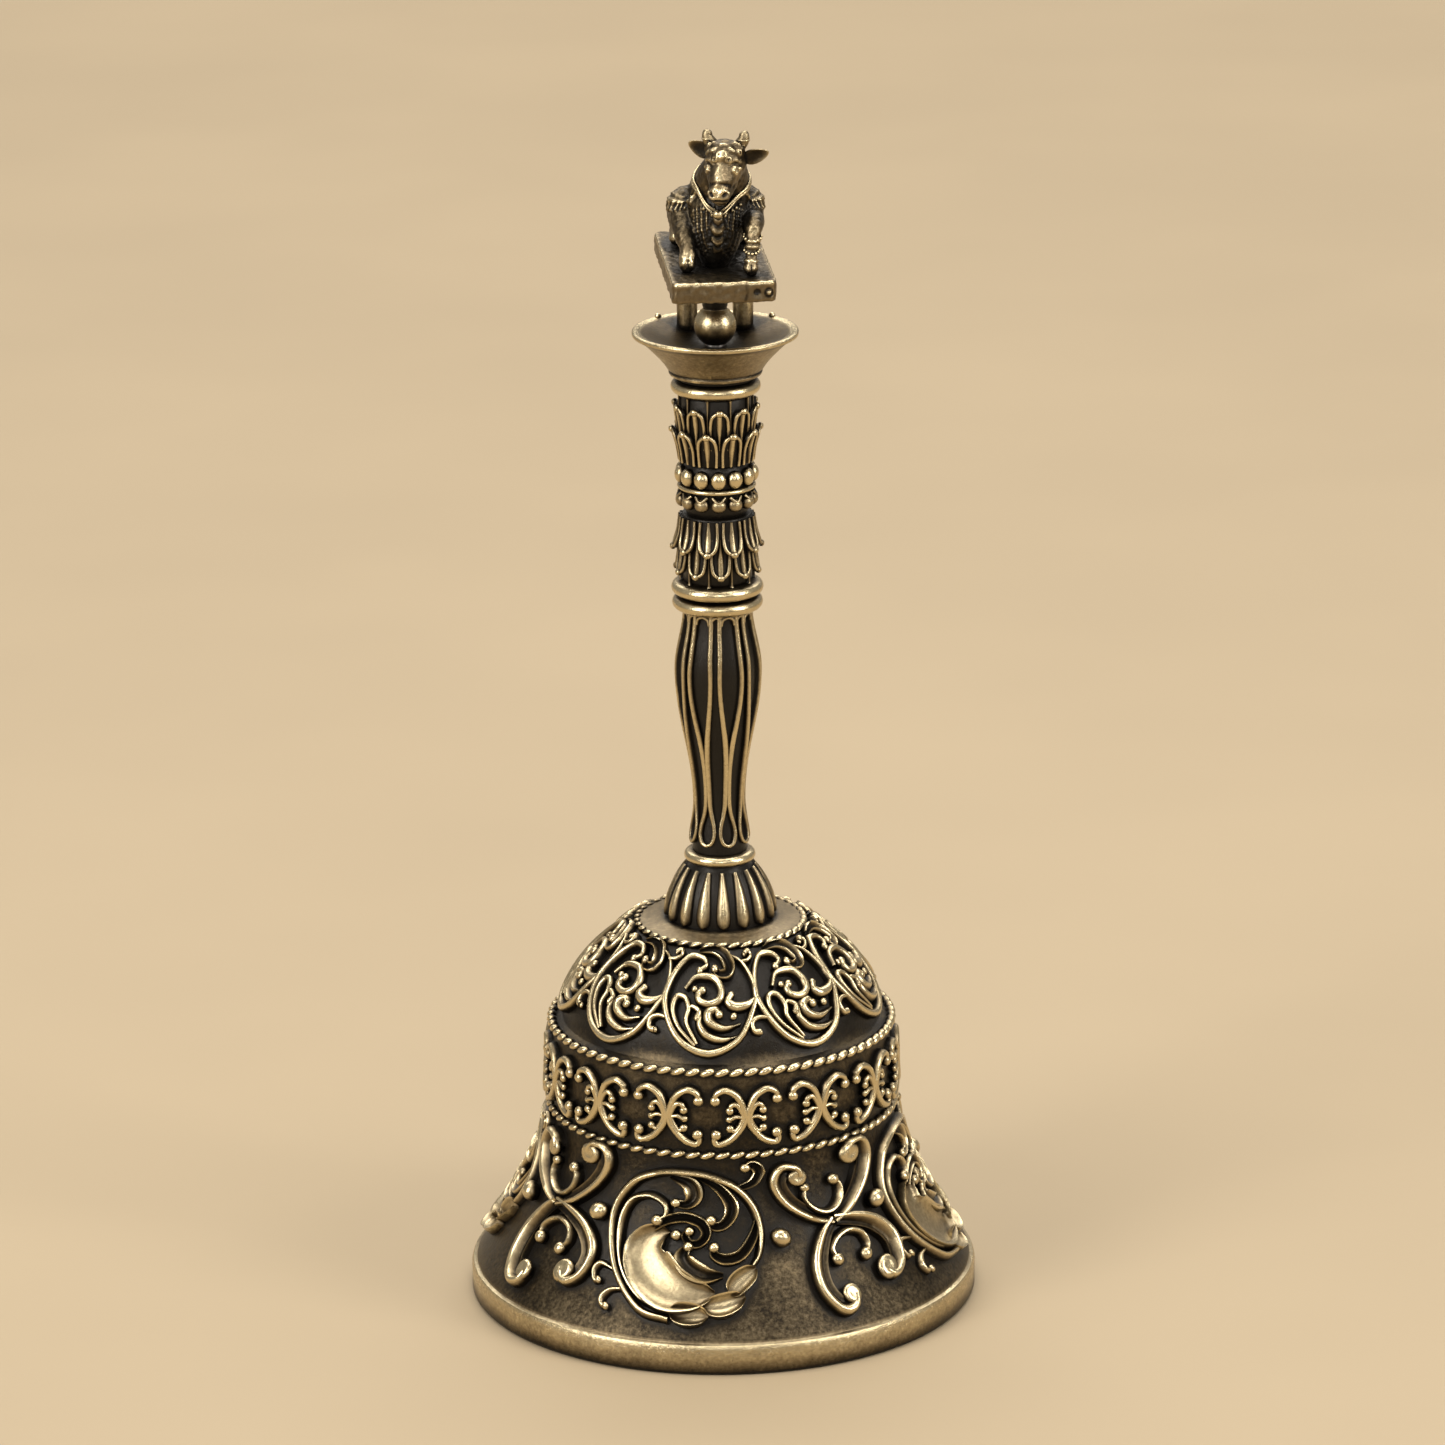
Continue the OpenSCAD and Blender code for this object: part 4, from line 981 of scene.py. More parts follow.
class BELL_OT_leaf_sleeves(bpy.types.Operator):
    """Build the two sleeves of overlapping wire-edged leaves"""
    bl_idname = "puja_bell.leaf_sleeves"
    bl_label = "Leaf sleeves"

    def execute(self, context):
        n = context.scene.handle_sizes.leaves
        length = BEADS_Z - LOWER_SLEEVE_Z
        for name, node, wall, z0 in (
            ("upper_leaves", "upper_leaf_sleeve", upper_sleeve_wall, UPPER_SLEEVE_Z),
            ("lower_leaves", "lower_leaf_sleeve", lower_sleeve_wall, LOWER_SLEEVE_Z),
        ):
            core = turned([(0, z0), (SLEEVE_R - 0.3, z0), (SLEEVE_R - 0.1, z0 + 0.4),
                           (SLEEVE_R - 0.1, z0 + length - 0.4),
                           (SLEEVE_R - 0.3, z0 + length), (0, z0 + length)], lift=0.0)
            parts = [core]
            for base, tip, turn, out in ((2.9, 8.9, LEAF_TURN, 0.75), (0.2, 5.2, LEAF_TURN + 180 / n, 1.1)):
                m = Motif(0.45, sink=0.25)
                long = tip - base
                m.stroke([(0, base), (0, base + 0.5 * long), (0, tip - 0.55), (0, tip - 0.1)],
                         (2.5, 2.6, 2.4, 1.3), SHEET,
                         0.8, rise=(0.1, out * 0.35, out * 0.85, out), bright=0.0)
                m.stroke([(-1.25, base), (-1.3, base + 0.45 * long), (-1.1, tip - 1.1), (-0.65, tip - 0.35),
                          (0, tip),
                          (0.65, tip - 0.35), (1.1, tip - 1.1), (1.3, base + 0.45 * long), (1.25, base)],
                         (0.5, 0.56, 0.6, 0.56, 0.5), ROUND, 1.0,
                         rise=(0.1, out * 0.35, out * 0.75, out * 0.9, out, out * 0.9, out * 0.75,
                               out * 0.35, 0.1))
                m.stroke([(0, base), (0, base + 0.5 * long), (0, tip - 0.3)], (0.5, 1.0, 0.9), KEEL, 0.95,
                         rise=(0.1, out * 0.4, out))
                m.ball((0, tip - 0.05), 0.55, rise=out + 0.05, tall=0.9)
                parts.append(m.laid_out(wall, around(n, turn)))
            ribs = Motif(0.45, sink=0.25)
            ribs.stroke([(0, 4.6), (0, 8), (0, length - 0.4), (0, length)], (0.35, 0.38, 0.45, 0.9), ROUND,
                        1.0)
            parts.append(ribs.laid_out(wall, around(n, LEAF_TURN + 180 / n)))
            finish_piece(name, joined(parts), "handle_finish", node)
        return {"FINISHED"}


# ---------- finial ----------

class BELL_OT_capital(bpy.types.Operator):
    """Turn the flared capital with its dished top, and the post and the pins on it"""
    bl_idname = "puja_bell.capital"
    bl_label = "Capital and post"

    def execute(self, context):
        r0 = COLLAR_R
        h = LIP_Z - CAPITAL_Z - 2
        flare = [(r0 + 0.2 + (LIP_R - 0.25 - r0 - 0.2) * (t ** 1.25), CAPITAL_Z + 1.5 + h * t)
                 for t in np.linspace(0.03, 0.93, 9)]
        seat = LIP_Z - 2.4
        dish = [(LIP_R - 1.1 - (LIP_R - 4.4) * t, LIP_Z - 0.15 - 2.2 * math.sin(t * math.pi / 2) ** 1.2)
                for t in np.linspace(0, 1, 9)]
        fine = []
        for k, (a, b) in enumerate(zip(dish, dish[1:])):
            fine += [a, ((a[0] + b[0]) / 2, (a[1] + b[1]) / 2 - 0.09)]
        outline = [(0, CAPITAL_Z), (r0 - 1.2, CAPITAL_Z), (r0 - 1.15, CAPITAL_Z + 0.45),
                   (r0 - 0.1, CAPITAL_Z + 0.7),
                   (r0 + 0.1, CAPITAL_Z + 1.1), (r0 - 0.15, CAPITAL_Z + 1.4)]
        outline += flare + [(LIP_R - 0.45, LIP_Z - 0.95), (LIP_R, LIP_Z - 0.7), (LIP_R, LIP_Z - 0.25),
                            (LIP_R - 0.3, LIP_Z)]
        outline += fine + [dish[-1], (0, seat)]

        def lift(r, z):
            inside = r < np.interp(z, [seat, LIP_Z], [LIP_R - 5, LIP_R - 0.9])
            top = inside & (z > seat - 0.2)
            return np.where(top, 0.42, np.interp(z, [CAPITAL_Z, CAPITAL_Z + 0.5, CAPITAL_Z + 0.7,
                                                     LIP_Z - 1.1, LIP_Z - 0.9,
                                                     LIP_Z - 0.6, LIP_Z],
                                                     [0.1, 0.1, 0.6, 0.65, 0.2, 0.9, 0.9]))

        finish_piece("flared_capital", turned(outline, soften=0.08, lift=lift), "satin_finish",
                     "capital")

        bm = bmesh.new()
        pin_box = [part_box("capital_pins")[k] / MM for k in (0, 1)]
        for side in (-1, 1):
            at = Vector((side * (pin_box[1].x - 0.5), (pin_box[0].y + pin_box[1].y) / 2, LIP_Z))
            bmesh.ops.create_icosphere(bm, subdivisions=3, radius=0.5, matrix=Matrix.Translation(at))
        finish_piece("lip_pins", mesh_from(bm, 1.0), "ring_finish", "capital_pins")

        r = (high("finial_post").x - low("finial_post").x) / 2
        ball = [(r * math.sin(a), seat + r * 0.93 - r * math.cos(a)) for a in np.linspace(0.35, 2.5, 18)]
        neck = ball[-1]
        outline = [(0, ball[0][1])] + ball + [(neck[0] * 0.9, neck[1] + 0.2), (r * 0.6, neck[1] + 0.5),
                                              (r * 0.6, PLINTH_Z - 0.6), (r * 0.95, PLINTH_Z),
                                              (1.5, PLINTH_Z),
                                              (1.5, PLINTH_Z + 1.9), (0, PLINTH_Z + 1.9)]
        # Painted shadow: the neck and the stem up to the plinth are given lift 0.1, dark, as the plinth's
        # shadow; the ball below them keeps lift 0.85
        post = turned(outline, soften=0.15, lift=lambda radius, z: np.where(z > neck[1] + 0.1, 0.1, 0.85))
        finish_piece("ball_post", post, "ring_finish", "finial_post")
        return {"FINISHED"}


# ---------- bull ----------

def limb(bm, points, radii, squash=(1, 1, 1)):
    """A run of overlapping balls along a smooth line, to be fused with others into one body."""
    r = np.interp(np.linspace(0, 1, len(points)), np.linspace(0, 1, len(radii)), radii)
    for x, y, z, size in smooth_line(np.column_stack([np.asarray(points, float), r]), 6):
        place = Matrix.Translation((x, y, z)) @ Matrix.Diagonal((*squash, 1))
        bmesh.ops.create_icosphere(bm, subdivisions=3, radius=size, matrix=place)


def both(points):
    """The points and their mirror image across the middle plane."""
    return [[(side * x, y, z) for x, y, z in points] for side in (-1, 1)]


class Skin:
    """A body fused from overlapping solids, whose surface takes carved lines."""

    def __init__(self, bm, voxel, lift):
        rough = bpy.data.meshes.new("rough")
        bm.to_mesh(rough)
        bm.free()
        holder = bpy.data.objects.new("rough", rough)
        bpy.context.scene.collection.objects.link(holder)
        fuse = holder.modifiers.new("fuse", "REMESH")
        fuse.mode = "VOXEL"
        fuse.voxel_size = voxel
        solid = bpy.data.meshes.new_from_object(holder.evaluated_get(bpy.context.evaluated_depsgraph_get()))
        bpy.data.objects.remove(holder)
        bpy.data.meshes.remove(rough)
        self.bm = bmesh.new()
        self.bm.from_mesh(solid)
        bpy.data.meshes.remove(solid)
        for _ in range(SMOOTH_ROUNDS):
            bmesh.ops.smooth_vert(self.bm, verts=self.bm.verts[:], factor=0.5, use_axis_x=True,
                                  use_axis_y=True,
                                  use_axis_z=True)
        self.bm.normal_update()
        self.tree = BVHTree.FromBMesh(self.bm)
        self.co = np.array([v.co for v in self.bm.verts])
        self.normal = np.array([v.normal for v in self.bm.verts])
        self.push = np.zeros(len(self.co))
        self.lift = np.full(len(self.co), float(lift))

    def seated(self, points, out=0.0):
        """The points moved onto the skin, or out from it."""
        found = [self.tree.find_nearest(Vector(p)) for p in points]
        return [tuple(at + facing * out) for at, facing, _, _ in found]

    def share(self, points, width):
        """How near each point of the skin is to a line, from 0 to 1."""
        near = np.full(len(self.co), 1e9)
        for p in np.array(points):
            near = np.minimum(near, np.einsum("ij,ij->i", self.co - p, self.co - p))
        return np.exp(-near / width ** 2)

    def line(self, points, width, height, shade=0.0, per=6):
        """Raises a soft line on the skin, or cuts one where height is below zero, and shades it."""
        route = smooth_line(points, per) if len(points) > 1 else np.asarray(points, float)
        share = self.share(self.seated(route), width)
        self.push += height * share
        self.lift += shade * share

    def shade(self, at, reach, amount):
        self.lift += amount * self.share([at], reach)

    def roughen(self, scale, depth):
        self.push += [depth * field.noise(v.co * scale) for v in self.bm.verts]

    def finished(self):
        moved = self.co + self.normal * self.push[:, None]
        for v, p in zip(self.bm.verts, moved):
            v.co = p
        return mesh_from(self.bm, self.lift)


HEAD = Matrix.Translation(HEAD_AT) @ Matrix.Rotation(math.radians(HEAD_TURN), 4, "Z")


def on_head(points):
    """Carries points from the head's own frame, with its nose towards -y, to the plinth's."""
    return [tuple(HEAD @ Vector(p)) for p in points]


def on_plinth(mesh, z=BULL_Z):
    """Moves a mesh from the plinth's own frame to the object's."""
    mesh.transform(Matrix.Translation((0, 0, z)) @ Matrix.Rotation(math.radians(PLINTH_TURN), 4, "Z"))
    return mesh


def loop_round(at, r, across, up, n=10):
    """A closed ring of points round a place, in the plane of two directions."""
    at, across, up = Vector(at), Vector(across), Vector(up)
    return [tuple(at + (across * math.cos(a) + up * math.sin(a)) * r) for a in np.linspace(0, math.tau, n)]


def bull_body():
    """The kneeling bull, without its horns: trunk, hump, neck, dewlap, legs and head fused into one."""
    bm = bmesh.new()
    limb(bm, [(0, 11, 4.8), (0, 4.5, 5.2), (0, -2.5, 6.8)], (5.0, 5.3, 5.8), (0.98, 1, 0.95))
    limb(bm, [(-0.2, 3.5, 9.2), (-0.2, 0.6, 11.2), (0, -1.6, 12)], (2.8, 2.9, 2.6))
    limb(bm, [(0.2, -3, 9.5), (0.7, -6, 12.8), (1.0, -8.0, 15.6)], (4.8, 4.2, 3.2))
    limb(bm, [(0, -5.5, 8.5), (-0.2, -6.8, 4.5), (-0.3, -6.3, 1.5)], (4.5, 3.6, 2.5))
    limb(bm, [(0, -10.2, 10), (-0.4, -10.3, 6.5), (-0.4, -9.4, 3), (-0.4, -7.9, 0.8)], (0.9, 1.15, 1.1, 0.9))
    for run in both([(4.3, -2.6, 8.6), (5.0, -5.0, 6.2)]):
        limb(bm, run, (3.0, 2.2))
    for run in both([(3.3, 10.3, 4.6), (3.9, 7.2, 3.2)]):
        limb(bm, run, (3.2, 2.3))
    for run in both([(4.6, 10, 1.7), (5.0, 7.8, 1.5), (5.2, 6.2, 1.4)]):
        limb(bm, run, (1.5, 1.2, 1.25))
    limb(bm, [(5.1, -5.5, 6.4), (5.2, -9.0, 7.1), (4.95, -11.0, 6.5)], (2.1, 1.6, 1.35))
    limb(bm, [(4.95, -11.1, 6.3), (4.6, -12.3, 3.7), (4.4, -13.0, 2), (4.3, -13.5, 1)],
         (1.25, 0.95, 0.95, 1.2))
    limb(bm, [(-5.0, -4.8, 6.4), (-5.0, -7.2, 4.9), (-4.8, -8.3, 3.6)], (2.1, 1.7, 1.3))
    limb(bm, [(-4.8, -8.8, 3.3), (-4.9, -9.5, 2.2), (-5.0, -10.0, 1.1)], (1.2, 1.3, 1.3))
    limb(bm, [(0.2, 15.8, 7.6), (1.7, 16.3, 5), (3.2, 15.8, 2.4), (4.2, 14.8, 0.9)], (0.6, 0.5, 0.5, 0.85))
    for points, radii, squash in (
        ([(0, 0.2, 0), (0, -0.7, 0.9)], (3.05, 2.7), (1.06, 1, 1)),
        ([(0, -0.8, -1.0), (0, -2.8, -2.2), (0, -3.9, -3.9)], (2.8, 2.1, 1.55), (1, 1, 1)),
        ([(-0.5, -4.2, -4.3), (0.5, -4.2, -4.3)], (1.32, 1.32), (1, 1, 1)),
        ([(0, -1.4, -2.8), (0, -3.5, -5.0)], (2.1, 1.15), (1, 1, 1)),
        ([(-2.0, -0.6, 2.0), (0, -0.9, 2.4), (2.0, -0.6, 2.0)], (1.15, 1.0, 1.15), (1, 1, 1)),
    ):
        limb(bm, on_head(points), radii, squash)
    skin = Skin(bm, BULL_VOXEL, 0.36)

    # Face: eyelids and eyes, brow, bridge, nostrils and mouth
    for side in (-1, 1):
        lids = [[(side * x, y, z) for x, y, z in lid] for lid in (
            [(1.5, -3.0, -0.9), (2.2, -2.9, -0.1), (3.0, -2.0, -0.5)],
            [(1.5, -3.0, -0.9), (2.3, -2.8, -1.2), (3.0, -2.0, -0.5)],
            [(1.2, -3.1, 0.2), (2.2, -2.8, 0.75), (3.1, -1.8, 0.3)],
        )]
        for lid, height in zip(lids, (0.3, 0.26, 0.2)):
            skin.line(on_head(lid), 0.24, height, 0.45)
        skin.line(on_head([(side * 2.3, -2.8, -0.62)]), 0.42, 0.3, 0.35)
        skin.line(on_head([(side * 1.0, -5.5, -4.1), (side * 1.25, -5.3, -3.8)]), 0.3, -0.42, -0.9)
        skin.line(on_head([(side * 0.6, -5.7, -3.6), (side * 1.1, -5.3, -3.35), (side * 1.7, -4.7, -3.8)]),
                  0.26, 0.2, 0.4)
        skin.line(on_head([(side * 1.2, -2.4, -2.9), (side * 1.5, -3.6, -3.4), (side * 1.9, -4.4, -4.2)]),
                  0.3, -0.16, -0.3)
    skin.line(on_head([(-1.8, -4.2, -5.0), (-1.0, -5.1, -5.2), (0, -5.4, -5.25), (1.0, -5.1, -5.2),
                       (1.8, -4.2, -5.0)]),
              0.24, -0.34, -0.8)
    skin.line(on_head([(-1.3, -3.9, -2.9), (0, -4.7, -2.4), (1.3, -3.9, -2.9)]), 0.26, -0.16, -0.6)
    skin.line(on_head([(0, -3.2, 1.0), (0, -4.0, -0.6), (0, -4.6, -2.0)]), 0.75, 0.26, 0.4)
    for at, reach, amount in (((0, -5.4, -3.3), 1.4, 0.5), ((0, -5.2, -4.7), 1.3, 0.4),
                              ((2.6, -2.0, -1.8), 1.3, 0.25)):
        skin.shade(on_head([at])[0], reach, amount)
    # Forehead: a boss ringed with curls
    for x, y, z, r in ((0.2, -3.4, 1.9, 0.7), (-1.3, -2.8, 2.4, 0.5), (1.7, -2.6, 2.5, 0.5),
                       (-2.3, -2.0, 1.7, 0.45),
                       (2.6, -1.8, 1.8, 0.45), (0.2, -2.4, 3.2, 0.5), (-0.9, -3.3, 1.0, 0.4),
                       (1.2, -3.2, 1.0, 0.4),
                       (-1.9, -1.4, 3.0, 0.45), (2.0, -1.2, 3.1, 0.45)):
        across = HEAD.to_3x3() @ Vector((1, 0, 0))
        skin.line(loop_round(on_head([(x, y, z)])[0], r, across, (0, -0.5, 0.85)), 0.17, 0.3, 0.55, per=3)
    skin.line(on_head([(0.2, -3.5, 1.9)]), 0.3, 0.35, 0.5)
    # Dewlap: nested folds that meet at its foot
    for side in (-1, 1):
        for k in range(5):
            skin.line([(-0.3 + side * (0.5 + 0.75 * k), -9.9 + 0.45 * k, 10.2 - 0.3 * k),
                       (-0.4 + side * (0.4 + 0.62 * k), -10.1 + 0.5 * k, 7.0 - 0.3 * k),
                       (-0.4 + side * (0.2 + 0.3 * k), -10 + 0.4 * k, 4.3 - 0.5 * k)], 0.24, -0.3, -0.45)
            skin.line([(-0.3 + side * (0.85 + 0.75 * k), -9.8 + 0.45 * k, 10 - 0.3 * k),
                       (-0.4 + side * (0.7 + 0.62 * k), -10 + 0.5 * k, 6.8 - 0.3 * k)], 0.22, 0.18, 0.4)
    for k in range(7):
        z = 9.0 - 0.95 * k
        skin.line([(-1.7, -10.2, z + 1.1), (-0.4, -11.5, z), (0.9, -10.2, z + 1.1)], 0.2,
                  0.16 if k % 2 else -0.26,
                  0.35 if k % 2 else -0.5)
    # Shoulder cloth: a raised hem with a fringe below it, and a second row of stitching
    for side in (-1, 1):
        hem = smooth_line([(side * 3.2, -7.2, 11.6), (side * 5.4, -5.6, 9.8), (side * 6.3, -2.4, 9.3),
                           (side * 6.2, 1, 9.2),
                           (side * 5.4, 4, 9.4), (side * 3, 6, 10.5), (0, 6.6, 11.2)], 7)
        skin.line(hem[::3], 0.32, 0.34, 0.45)
        skin.line(hem[::3] + np.array([0, 0.2, 0.9]), 0.2, 0.2, 0.3)
        for p in hem[2:-6:2]:
            skin.line([p + np.array([side * 0.2, 0, -0.3]), p + np.array([side * 0.5, 0, -1.3])], 0.24, 0.36,
                      0.4, per=4)
        for p in hem[3:-6:2]:
            skin.line([p + np.array([side * 0.2, 0, -0.4]), p + np.array([side * 0.5, 0, -1.3])], 0.18,
                      -0.16, -0.5, per=4)
    # Joints and hooves: worn bright, with the cleft of each hoof cut in
    for at, reach, amount in (((4.9, -12.2, 6.6), 1.2, 0.4), ((4.3, -14.4, 1.2), 1.4, 0.45),
                              ((-5, -10.9, 1.6), 1.8, 0.6),
                              ((-5.2, 5.4, 1.6), 1.7, 0.6), ((5.2, 5.4, 1.6), 1.6, 0.5),
                              ((0, 0, 14), 2.6, 0.2)):
        skin.shade(at, reach, amount)
    for x, y in ((4.3, -14.7), (-5.0, -11.2), (-5.2, 4.8), (5.2, 4.8)):
        skin.line([(x, y, 0.3), (x, y, 1.9)], 0.16, -0.26, -0.6)
    for z, y in ((5.0, -12.9), (4.2, -13.0), (2.2, -13.9)):
        skin.line([(3.4, y + 0.9, z), (4.7, y, z), (6.0, y + 0.9, z)], 0.24, 0.28, 0.45)
    for side in (-1, 1):
        skin.line([(side * 6.4, 6.5, 6.2), (side * 7.2, 7.6, 4.4), (side * 6.6, 6.6, 2.9)], 0.35, -0.3, -0.4)
        skin.line([(side * 6.3, -3.6, 6.0), (side * 6.2, -5.9, 4.4), (side * 5.0, -7.4, 3.2)], 0.35, -0.2,
                  -0.3)
    skin.roughen(1.6, 0.12)
    return skin


def ear(root, tip, width):
    """One ear: a leaf that is hollow in front."""
    root, tip = Vector(on_head([root])[0]), Vector(on_head([tip])[0])
    along = tip - root
    back = Vector((0.12, 0.95, 0.2)).cross(along).cross(along).normalized() * -1
    across = along.cross(back).normalized()
    bm = bmesh.new()
    layer = bm.verts.layers.float.new("lift")
    for v in bmesh.ops.create_uvsphere(bm, u_segments=24, v_segments=16, radius=1)["verts"]:
        a, b, c = v.co.z, v.co.y, v.co.x
        edge = min(1.0, a * a + c * c)
        v[layer] = 0.3 + 0.6 * edge if b < 0 else 0.45
        deep = b * 0.32 + (0.62 * (1 - edge) if b < 0 else 0.1)
        v.co = (root + along * (0.5 + 0.55 * a) + back * deep + across * (c * width * (0.55 - 0.17 * a)))
    return mesh_from(bm)


class BELL_OT_bull(bpy.types.Operator):
    """Sculpt the kneeling bull with its ears, horns and necklace, and the worn plinth under it"""
    bl_idname = "puja_bell.bull"
    bl_label = "Bull and plinth"

    def execute(self, context):
        skin = bull_body()
        ears = [ear((-2.5, 0.7, 0.8), (-5.7, 0.3, 2.5), 2.3), ear((2.6, 0.6, 0.2), (6.4, 0.2, 1.6), 2.2)]

        chain = [(-0.4, -11.6, 9.4), (1.4, -11.4, 9.9), (3.2, -10.0, 11.2), (4.4, -8.0, 12.6),
                 (4.5, -5.4, 13.8),
                 (2.6, -3.0, 14.8), (0.4, -2.4, 15), (-2.0, -3.4, 14.6), (-3.4, -5.8, 13.4),
                 (-3.3, -8.2, 12.0),
                 (-2.2, -10.4, 10.5), (-0.6, -11.6, 9.5)]
        cords = bmesh.new()
        for drop in (0.0, 0.62):
            tube(cords, skin.seated([(x, y, z - drop) for x, y, z in chain], 0.12), (0.27,), 8, 5)
        beads = [(-0.4, -11.6, 9.1)] + [(0.9 + 0.72 * k, -11.3 + 0.42 * k * k / 3,
                                         8.7 + 0.32 * k) for k in range(5)]
        beads += [(-1.5 - 0.7 * k, -10.9 + 0.3 * k, 8.9 + 0.4 * k) for k in range(3)]
        hung = skin.seated(beads[:1], 0.55) + skin.seated(beads[1:], 0.15)
        for at, size in zip(hung, (0.8,) + (0.32,) * 8):
            bmesh.ops.create_icosphere(cords, subdivisions=3, radius=size, matrix=Matrix.Translation(at))
        for z, y, size in ((5.5, -11.5, 1.3), (3.6, -12.4, 1.05)):
            for at in loop_round((4.8 - (5.5 - z) * 0.12, y, z), size, (1, 0, 0), (0, -1, -0.35), 13)[1:]:
                bmesh.ops.create_icosphere(cords, subdivisions=2, radius=0.26, matrix=Matrix.Translation(at))
        necklace = on_plinth(mesh_from(cords, 0.8))

        horns = bmesh.new()
        for side in (-1, 1):
            path = [(side * x, y, z) for x, y, z in (
                (1.7, 0.2, 1.9), (2.3, 0.1, 2.7), (2.75, 0, 3.4), (2.85, 0, 4.0), (2.75, 0, 4.4),
                (2.66, 0, 4.62), (2.6, 0, 4.75))]
            tube(horns, on_head(path), (1.05, 0.98, 0.9, 0.8, 0.7, 0.54, 0.15), 14, 4)
            for k, r in ((1, 0.95), (2, 0.86)):
                ring = loop_round(path[k], r, (1, 0, 0), (0, 1, 0), 15)
                tube(horns, on_head(ring), (0.14,), 6, 2)
        horns = on_plinth(mesh_from(horns, 0.62))

        figure = on_plinth(joined([skin.finished(), *ears]))
        finish_piece("kneeling_bull", figure, "bull_finish", "bull", sharp=80)
        finish_piece("upcurved_horns", horns, "bull_finish", "bull_horns", sharp=80)
        finish_piece("bull_necklace", necklace, "bull_finish", "bull_collar", sharp=80)

        thick = BULL_Z - PLINTH_Z
        bm = bmesh.new()
        size = Matrix.Diagonal((PLINTH_W - 0.24, PLINTH_L - 0.24, thick - 0.12, 1))
        bmesh.ops.create_cube(bm, size=1, matrix=Matrix.Translation((0, 0, thick / 2)) @ size)
        uprights = [e for e in bm.edges if abs(e.verts[0].co.z - e.verts[1].co.z) > 1]
        bmesh.ops.bevel(bm, geom=uprights, offset=1.0, segments=5, affect="EDGES", profile=0.5, material=-1)
        slab = Skin(bm, PLINTH_VOXEL, 0.5)
        slab.lift -= 0.16 * (slab.co[:, 2] > thick - 0.25)
        front = -PLINTH_L / 2
        slab.line([(4.9, front, 1.7)], 0.42, -0.4, -0.8)
        slab.line([(6.7, front, 1.6)], 0.32, 0.3, 0.4)
        slab.line(loop_round((6.7, front, 1.6), 0.55, (1, 0, 0), (0, 0, 1)), 0.2, -0.14, -0.5, per=2)
        slab.line([(3.3, front, thick), (3.4, front, 1.6), (3.1, front, 0.4)], 0.22, -0.08, -0.22)
        for points in ([(-7.4, front, thick), (0, front, thick), (7.4, front, thick)],
                       [(-8, -16, thick), (-8, 0, thick), (-8, 16, thick)],
                       [(8, -16, thick), (8, 0, thick), (8, 16, thick)]):
            slab.line(points, 0.4, 0.05, 0.45, per=40)
        slab.roughen(1.1, 0.16)
        slab.roughen(3.1, 0.05)
        finish_piece("worn_plinth", on_plinth(slab.finished(), PLINTH_Z), "bull_finish",
                     "plinth",
                     sharp=80)
        return {"FINISHED"}


class BELL_OT_clapper(bpy.types.Operator):
    """Give the tie rod, its nut and washer, and the clapper's pieces their finishes"""
    bl_idname = "puja_bell.clapper"
    bl_label = "Tie rod and clapper"

    def execute(self, context):
        for finish, nodes in (
            ("steel_finish", ("tie_rod", "crown_washer", "crown_nut")),
            ("clapper_finish", ("clapper_hanger", "clapper_link", "clapper_rod", "clapper_ball")),
            ("dull_finish", ("plinth_props",)),
        ):
            for node in nodes:
                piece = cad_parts[node]
                piece.data.materials.clear()
                piece.data.materials.append(material_of(finish))
        return {"FINISHED"}


# ---------- stage ----------

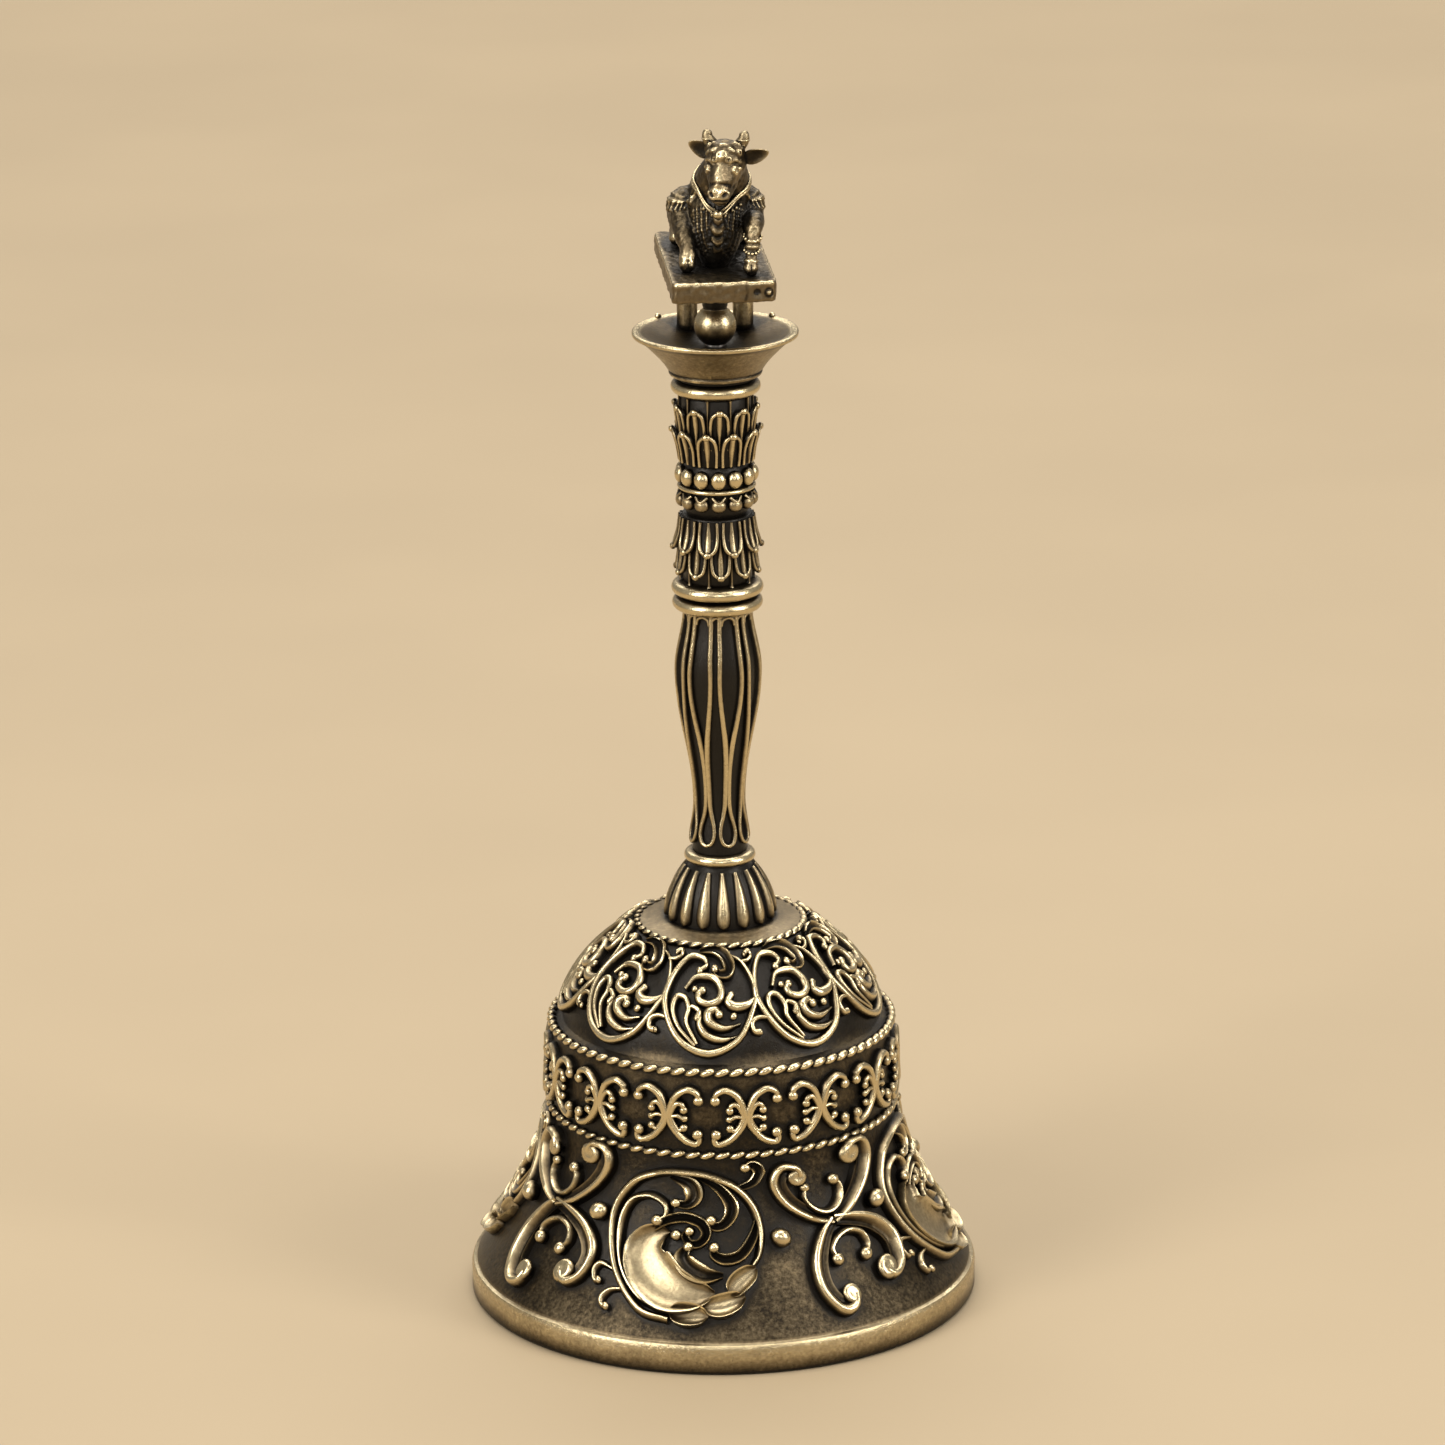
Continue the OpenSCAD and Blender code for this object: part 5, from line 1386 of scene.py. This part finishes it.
class BELL_OT_stage(bpy.types.Operator):
    """Set the pale floor, the soft lights and the camera"""
    bl_idname = "puja_bell.stage"
    bl_label = "Stage"

    def execute(self, context):
        settings = context.scene.bell_stage
        scene = context.scene
        bm = bmesh.new()
        bmesh.ops.create_grid(bm, x_segments=2, y_segments=2, size=4)
        mesh = bpy.data.meshes.new("floor")
        bm.to_mesh(mesh)
        bm.free()
        floor = bpy.data.objects.new("floor", mesh)
        scene.collection.objects.link(floor)
        paper = bpy.data.materials.new("pale_floor")
        paper.use_nodes = True
        tree = paper.node_tree
        shader = tree.nodes["Principled BSDF"]
        where = add_node(tree, "ShaderNodeTexCoord").outputs["Object"]
        cloud = noise(tree, where, 5, 3)
        pale = Vector(settings.floor)
        tint = mixed(tree, ranged(tree, cloud, 0.3, 0.7), (*(pale * 0.97), 1), (*(pale * 1.03), 1))
        tree.links.new(tint, shader.inputs["Base Color"])
        shader.inputs["Roughness"].default_value = 0.8
        mesh.materials.append(paper)

        world = bpy.data.worlds.new("studio")
        world.use_nodes = True
        world.node_tree.nodes["Background"].inputs["Color"].default_value = (1.0, 0.93, 0.83, 1)
        world.node_tree.nodes["Background"].inputs["Strength"].default_value = 0.45 * settings.light
        scene.world = world
        scene.view_settings.view_transform = "Standard"
        for name, where, size, power in (
            ("left_box", (-0.9, -0.75, 0.75), (0.5, 0.9), 17),
            ("right_box", (0.95, -0.5, 0.7), (0.4, 0.9), 12),
            ("top_box", (0.0, 0.1, 1.2), (0.9, 0.7), 14),
            ("front_box", (0.15, -1.5, 0.9), (0.5, 0.5), 6),
            ("back_box", (0.0, 1.5, 1.3), (2.4, 1.0), 38),
        ):
            lamp = bpy.data.lights.new(name, "AREA")
            lamp.shape = "RECTANGLE"
            lamp.size, lamp.size_y = size
            lamp.energy = power * settings.light
            lamp.color = (1.0, 0.96, 0.9)
            holder = bpy.data.objects.new(name, lamp)
            scene.collection.objects.link(holder)
            holder.location = where
            aim = Vector((0, max(0.0, where[1] - 0.1), 0.08)) - holder.location
            holder.rotation_euler = aim.to_track_quat("-Z", "Y").to_euler()

        lens = bpy.data.cameras.new("camera")
        lens.lens = CAMERA_LENS
        lens.sensor_width = 36
        lens.clip_start, lens.clip_end = 0.05, 20
        camera = bpy.data.objects.new("camera", lens)
        scene.collection.objects.link(camera)
        camera.location = CAMERA_AT
        tilt = Matrix.Rotation(math.radians(90 - CAMERA_DOWN), 3, "X")
        roll = Matrix.Rotation(math.radians(CAMERA_ROLL), 3, "Z")
        camera.rotation_euler = (tilt @ roll).to_euler()
        scene.camera = camera
        return {"FINISHED"}


class BELL_PT_pieces(bpy.types.Panel):
    """Lists the bell's pieces in the order in which they are made"""
    bl_label = "Puja Bell"
    bl_idname = "BELL_PT_pieces"
    bl_space_type = "VIEW_3D"
    bl_region_type = "UI"
    bl_category = "Puja Bell"

    def draw(self, context):
        for operator in OPERATORS:
            self.layout.operator(operator.bl_idname)
        for group in ("bell_sizes", "handle_sizes", "bell_finish", "bell_stage"):
            settings = getattr(context.scene, group)
            for name in settings.bl_rna.properties.keys():
                if name not in ("rna_type", "name"):
                    self.layout.prop(settings, name)


OPERATORS = (
    BELL_OT_finishes, BELL_OT_shell, BELL_OT_ropes, BELL_OT_dome_scrolls, BELL_OT_band_scrolls,
    BELL_OT_skirt_medallions, BELL_OT_crossed_scrolls, BELL_OT_crown, BELL_OT_grip, BELL_OT_collars,
    BELL_OT_leaf_sleeves, BELL_OT_capital, BELL_OT_bull, BELL_OT_clapper, BELL_OT_stage,
)
GROUPS = {"bell_sizes": BellSizes, "handle_sizes": HandleSizes, "bell_finish": Finish,
          "bell_stage": StageSettings}


def register():
    for name, group in GROUPS.items():
        bpy.utils.register_class(group)
        setattr(bpy.types.Scene, name, PointerProperty(type=group))
    for cls in (*OPERATORS, BELL_PT_pieces):
        bpy.utils.register_class(cls)


def unregister():
    for cls in (*OPERATORS, BELL_PT_pieces):
        bpy.utils.unregister_class(cls)
    for name, group in GROUPS.items():
        delattr(bpy.types.Scene, name)
        bpy.utils.unregister_class(group)


def main():
    register()
    for operator in OPERATORS:
        space, name = operator.bl_idname.split(".")
        getattr(getattr(bpy.ops, space), name)()


if __name__ == "__main__":
    main()
